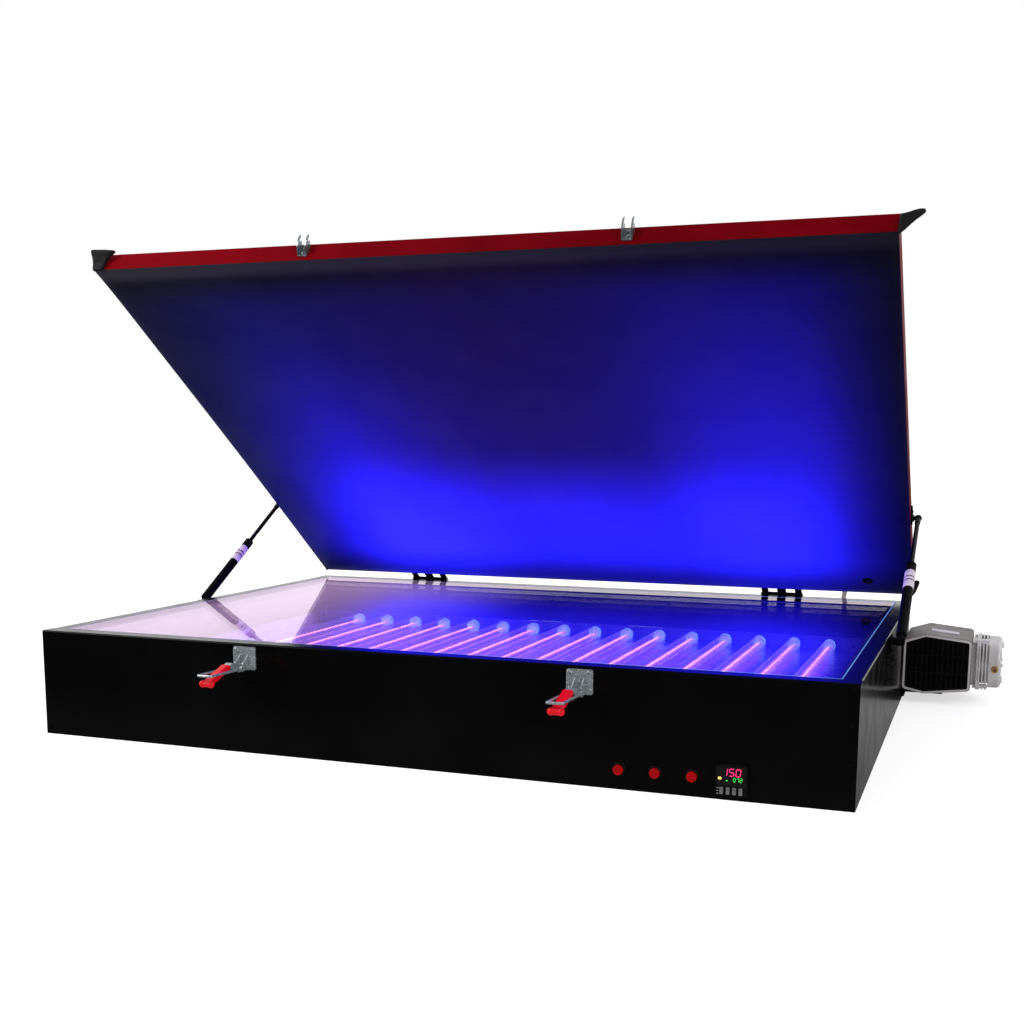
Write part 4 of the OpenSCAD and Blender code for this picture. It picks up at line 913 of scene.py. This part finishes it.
def pump_filter():
    """A near-black plate behind the pump's grille, as wide as the grille's outline: painted shade
    for the dark inside of the pump.
    """
    verts = [v.co for v in NODES["pump_grille"].data.vertices]
    points = sorted({(round(v.x, 5), round(v.z, 5)) for v in verts})

    def half(order):
        """The outermost points on one side, from one end to the other."""
        chain = []
        for x, z in order:
            while len(chain) > 1:
                (x0, z0), (x1, z1) = chain[-2:]
                if (x1 - x0) * (z - z0) > (z1 - z0) * (x - x0):
                    break
                chain.pop()
            chain.append((x, z))
        return chain[:-1]

    low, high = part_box("pump_grille")
    middle = (low + high) / 2
    scale = 0.985
    outline = [(middle.x + scale * (x - middle.x), middle.z + scale * (z - middle.z))
               for x, z in half(points) + half(points[::-1])]
    bm = bmesh.new()
    add_plate(bm, outline, high.y + 3 * MM, 2.5 * MM)
    piece("pump_filter", bm, GRILLE_SHADE, "cabinet", smooth=False)


def glass_edge():
    """The polished arris of the glass, which carries the lamps' light to its edge."""
    low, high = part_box("glass_plate")
    bm = bmesh.new()
    inset, wide, proud = 0.4 * MM, 1.6 * MM, 0.25 * MM
    outer = (low.x + inset, low.y + inset, high.x - inset, high.y - inset)
    inner = (outer[0] + wide, outer[1] + wide, outer[2] - wide, outer[3] - wide)

    def loop(box, z):
        return [bm.verts.new((box[a], box[b], z)) for a, b in ((0, 1), (2, 1), (2, 3), (0, 3))]

    rings = [loop(outer, high.z), loop(outer, high.z + proud), loop(inner, high.z + proud),
             loop(inner, high.z)]
    add_strips(bm, rings + rings[:1])
    piece("glass_arris", bm, GLASS_EDGE, "cabinet", smooth=False)


# Camera

def camera():
    yaw, pitch, roll = (math.radians(a) for a in (CAMERA_YAW, CAMERA_PITCH, CAMERA_ROLL))
    ahead = Vector((math.sin(yaw) * math.cos(pitch), math.cos(yaw) * math.cos(pitch),
                    math.sin(pitch)))
    right = ahead.cross(Vector((0, 0, 1))).normalized()
    up = right.cross(ahead)
    turned_right = right * math.cos(roll) + up * math.sin(roll)
    turned_up = up * math.cos(roll) - right * math.sin(roll)
    data = bpy.data.cameras.new("camera")
    data.lens = CAMERA_LENS
    data.shift_y = CAMERA_SHIFT
    data.clip_end = 200
    obj = bpy.data.objects.new("camera", data)
    axes = Matrix((turned_right, turned_up, -ahead)).transposed().to_4x4()
    obj.matrix_world = Matrix.Translation(CAMERA_AT) @ axes
    bpy.context.scene.collection.objects.link(obj)
    bpy.context.scene.camera = obj


# Stage

def made_node(tree, kind, operation=None, **inputs):
    """A node with its inputs set or linked; _2 is the input with index 2."""
    node = tree.nodes.new(kind)
    if operation:
        node.operation = operation
    for key, value in inputs.items():
        socket = node.inputs[int(key[1:])]
        if isinstance(value, (int, float)):
            socket.default_value = value
        else:
            tree.links.new(value, socket)
    return node


def world():
    """White in view; in reflections white behind the object and near black in front of it."""
    made = bpy.data.worlds.new("studio")
    made.use_nodes = True
    tree = made.node_tree
    back = tree.nodes["Background"]
    back.inputs["Color"].default_value = (1, 1, 1, 1)
    path = tree.nodes.new("ShaderNodeLightPath")
    towards = tree.nodes.new("ShaderNodeSeparateXYZ")
    tree.links.new(tree.nodes.new("ShaderNodeTexCoord").outputs["Generated"],
                   towards.inputs["Vector"])
    room = made_node(tree, "ShaderNodeMapRange", _0=towards.outputs["Y"], _1=-0.25, _2=0.1,
                     _3=0.03, _4=1.0).outputs["Result"]
    mirrored = made_node(tree, "ShaderNodeMix", _0=path.outputs["Is Glossy Ray"], _2=0.42,
                         _3=room).outputs[0]
    level = made_node(tree, "ShaderNodeMix", _0=path.outputs["Is Camera Ray"], _2=mirrored,
                      _3=1.0).outputs[0]
    tree.links.new(level, back.inputs["Strength"])
    bpy.context.scene.world = made


def floor():
    """A pale floor that is white in view, keeps the object's shadow, and ends in white. For
    reflections alone, it is painted near black in front of the object, as a painted dark
    reflection."""
    bm = bmesh.new()
    bmesh.ops.create_grid(bm, x_segments=1, y_segments=1, size=60)
    mat = bpy.data.materials.new("floor")
    mat.use_nodes = True
    tree = mat.node_tree
    shader = tree.nodes["Principled BSDF"]
    shader.inputs["Roughness"].default_value = 0.9
    shader.inputs["Specular IOR Level"].default_value = 0.0
    shader.inputs["Emission Color"].default_value = (1, 1, 1, 1)
    path = tree.nodes.new("ShaderNodeLightPath")
    away = tree.nodes.new("ShaderNodeVectorMath")
    away.operation = "LENGTH"
    tree.links.new(tree.nodes.new("ShaderNodeTexCoord").outputs["Object"], away.inputs[0])
    far = made_node(tree, "ShaderNodeMapRange", _0=away.outputs["Value"], _1=0.9, _2=3.0,
                    _3=0.62, _4=0.85).outputs["Result"]
    seen = made_node(tree, "ShaderNodeMath", "MAXIMUM", _0=path.outputs["Is Camera Ray"],
                     _1=path.outputs["Is Transmission Ray"]).outputs["Value"]
    level = made_node(tree, "ShaderNodeMath", "MULTIPLY", _0=far, _1=seen)
    tree.links.new(level.outputs["Value"], shader.inputs["Emission Strength"])
    place = tree.nodes.new("ShaderNodeSeparateXYZ")
    tree.links.new(tree.nodes.new("ShaderNodeTexCoord").outputs["Object"],
                   place.inputs["Vector"])
    # Painted reflection: glossy rays see the floor near black in front of the object.
    behind = made_node(tree, "ShaderNodeMapRange", _0=place.outputs["Y"], _1=-1.0, _2=0.4,
                       _3=0.05, _4=1.0).outputs["Result"]
    mirrored = made_node(tree, "ShaderNodeMix", _0=path.outputs["Is Glossy Ray"], _2=1.0,
                         _3=behind).outputs[0]
    pale = made_node(tree, "ShaderNodeMath", "MULTIPLY", _0=mirrored, _1=0.9)
    tree.links.new(pale.outputs["Value"], shader.inputs["Base Color"])
    obj = piece("floor", bm, mat, None, smooth=False)


def area_light(name, at, towards, size, power, colour=(1, 1, 1), seen=True):
    """A soft light, hidden from the camera; seen says whether mirrors show it."""
    data = bpy.data.lights.new(name, "AREA")
    data.shape = "RECTANGLE"
    data.size, data.size_y = size
    data.energy = power
    data.color = colour
    obj = bpy.data.objects.new(name, data)
    obj.location = at
    obj.rotation_mode = "QUATERNION"
    obj.rotation_quaternion = (Vector(towards) - Vector(at)).to_track_quat("-Z", "Y")
    obj.visible_camera = False
    obj.visible_glossy = seen
    bpy.context.scene.collection.objects.link(obj)


def lights():
    area_light("key", (-3.2, -2.6, 3.4), (0, 0, 0.2), size=(2.4, 2.4), power=120)
    area_light("fill", (3.4, -2.0, 2.2), (0.2, 0.1, 0.3), size=(2.0, 2.0), power=45)
    # The light of the lamps on what stands over them
    under_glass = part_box("glass_plate")[0].z - 0.02
    area_light("lamp_glow", (0.1, 0.02, under_glass), (0.1, 0.02, 1.0), size=(1.0, 0.8),
               power=5, colour=(0.12, 0.08, 1.0), seen=False)


dress_nodes()
camera()
vacuum_hose()
blanket()
blanket_corners()
led_packages()
timer_display()
strut_sleeves()
pump_label()
pump_filter()
glass_edge()
world()
floor()
lights()

bpy.context.scene.view_settings.view_transform = "Standard"
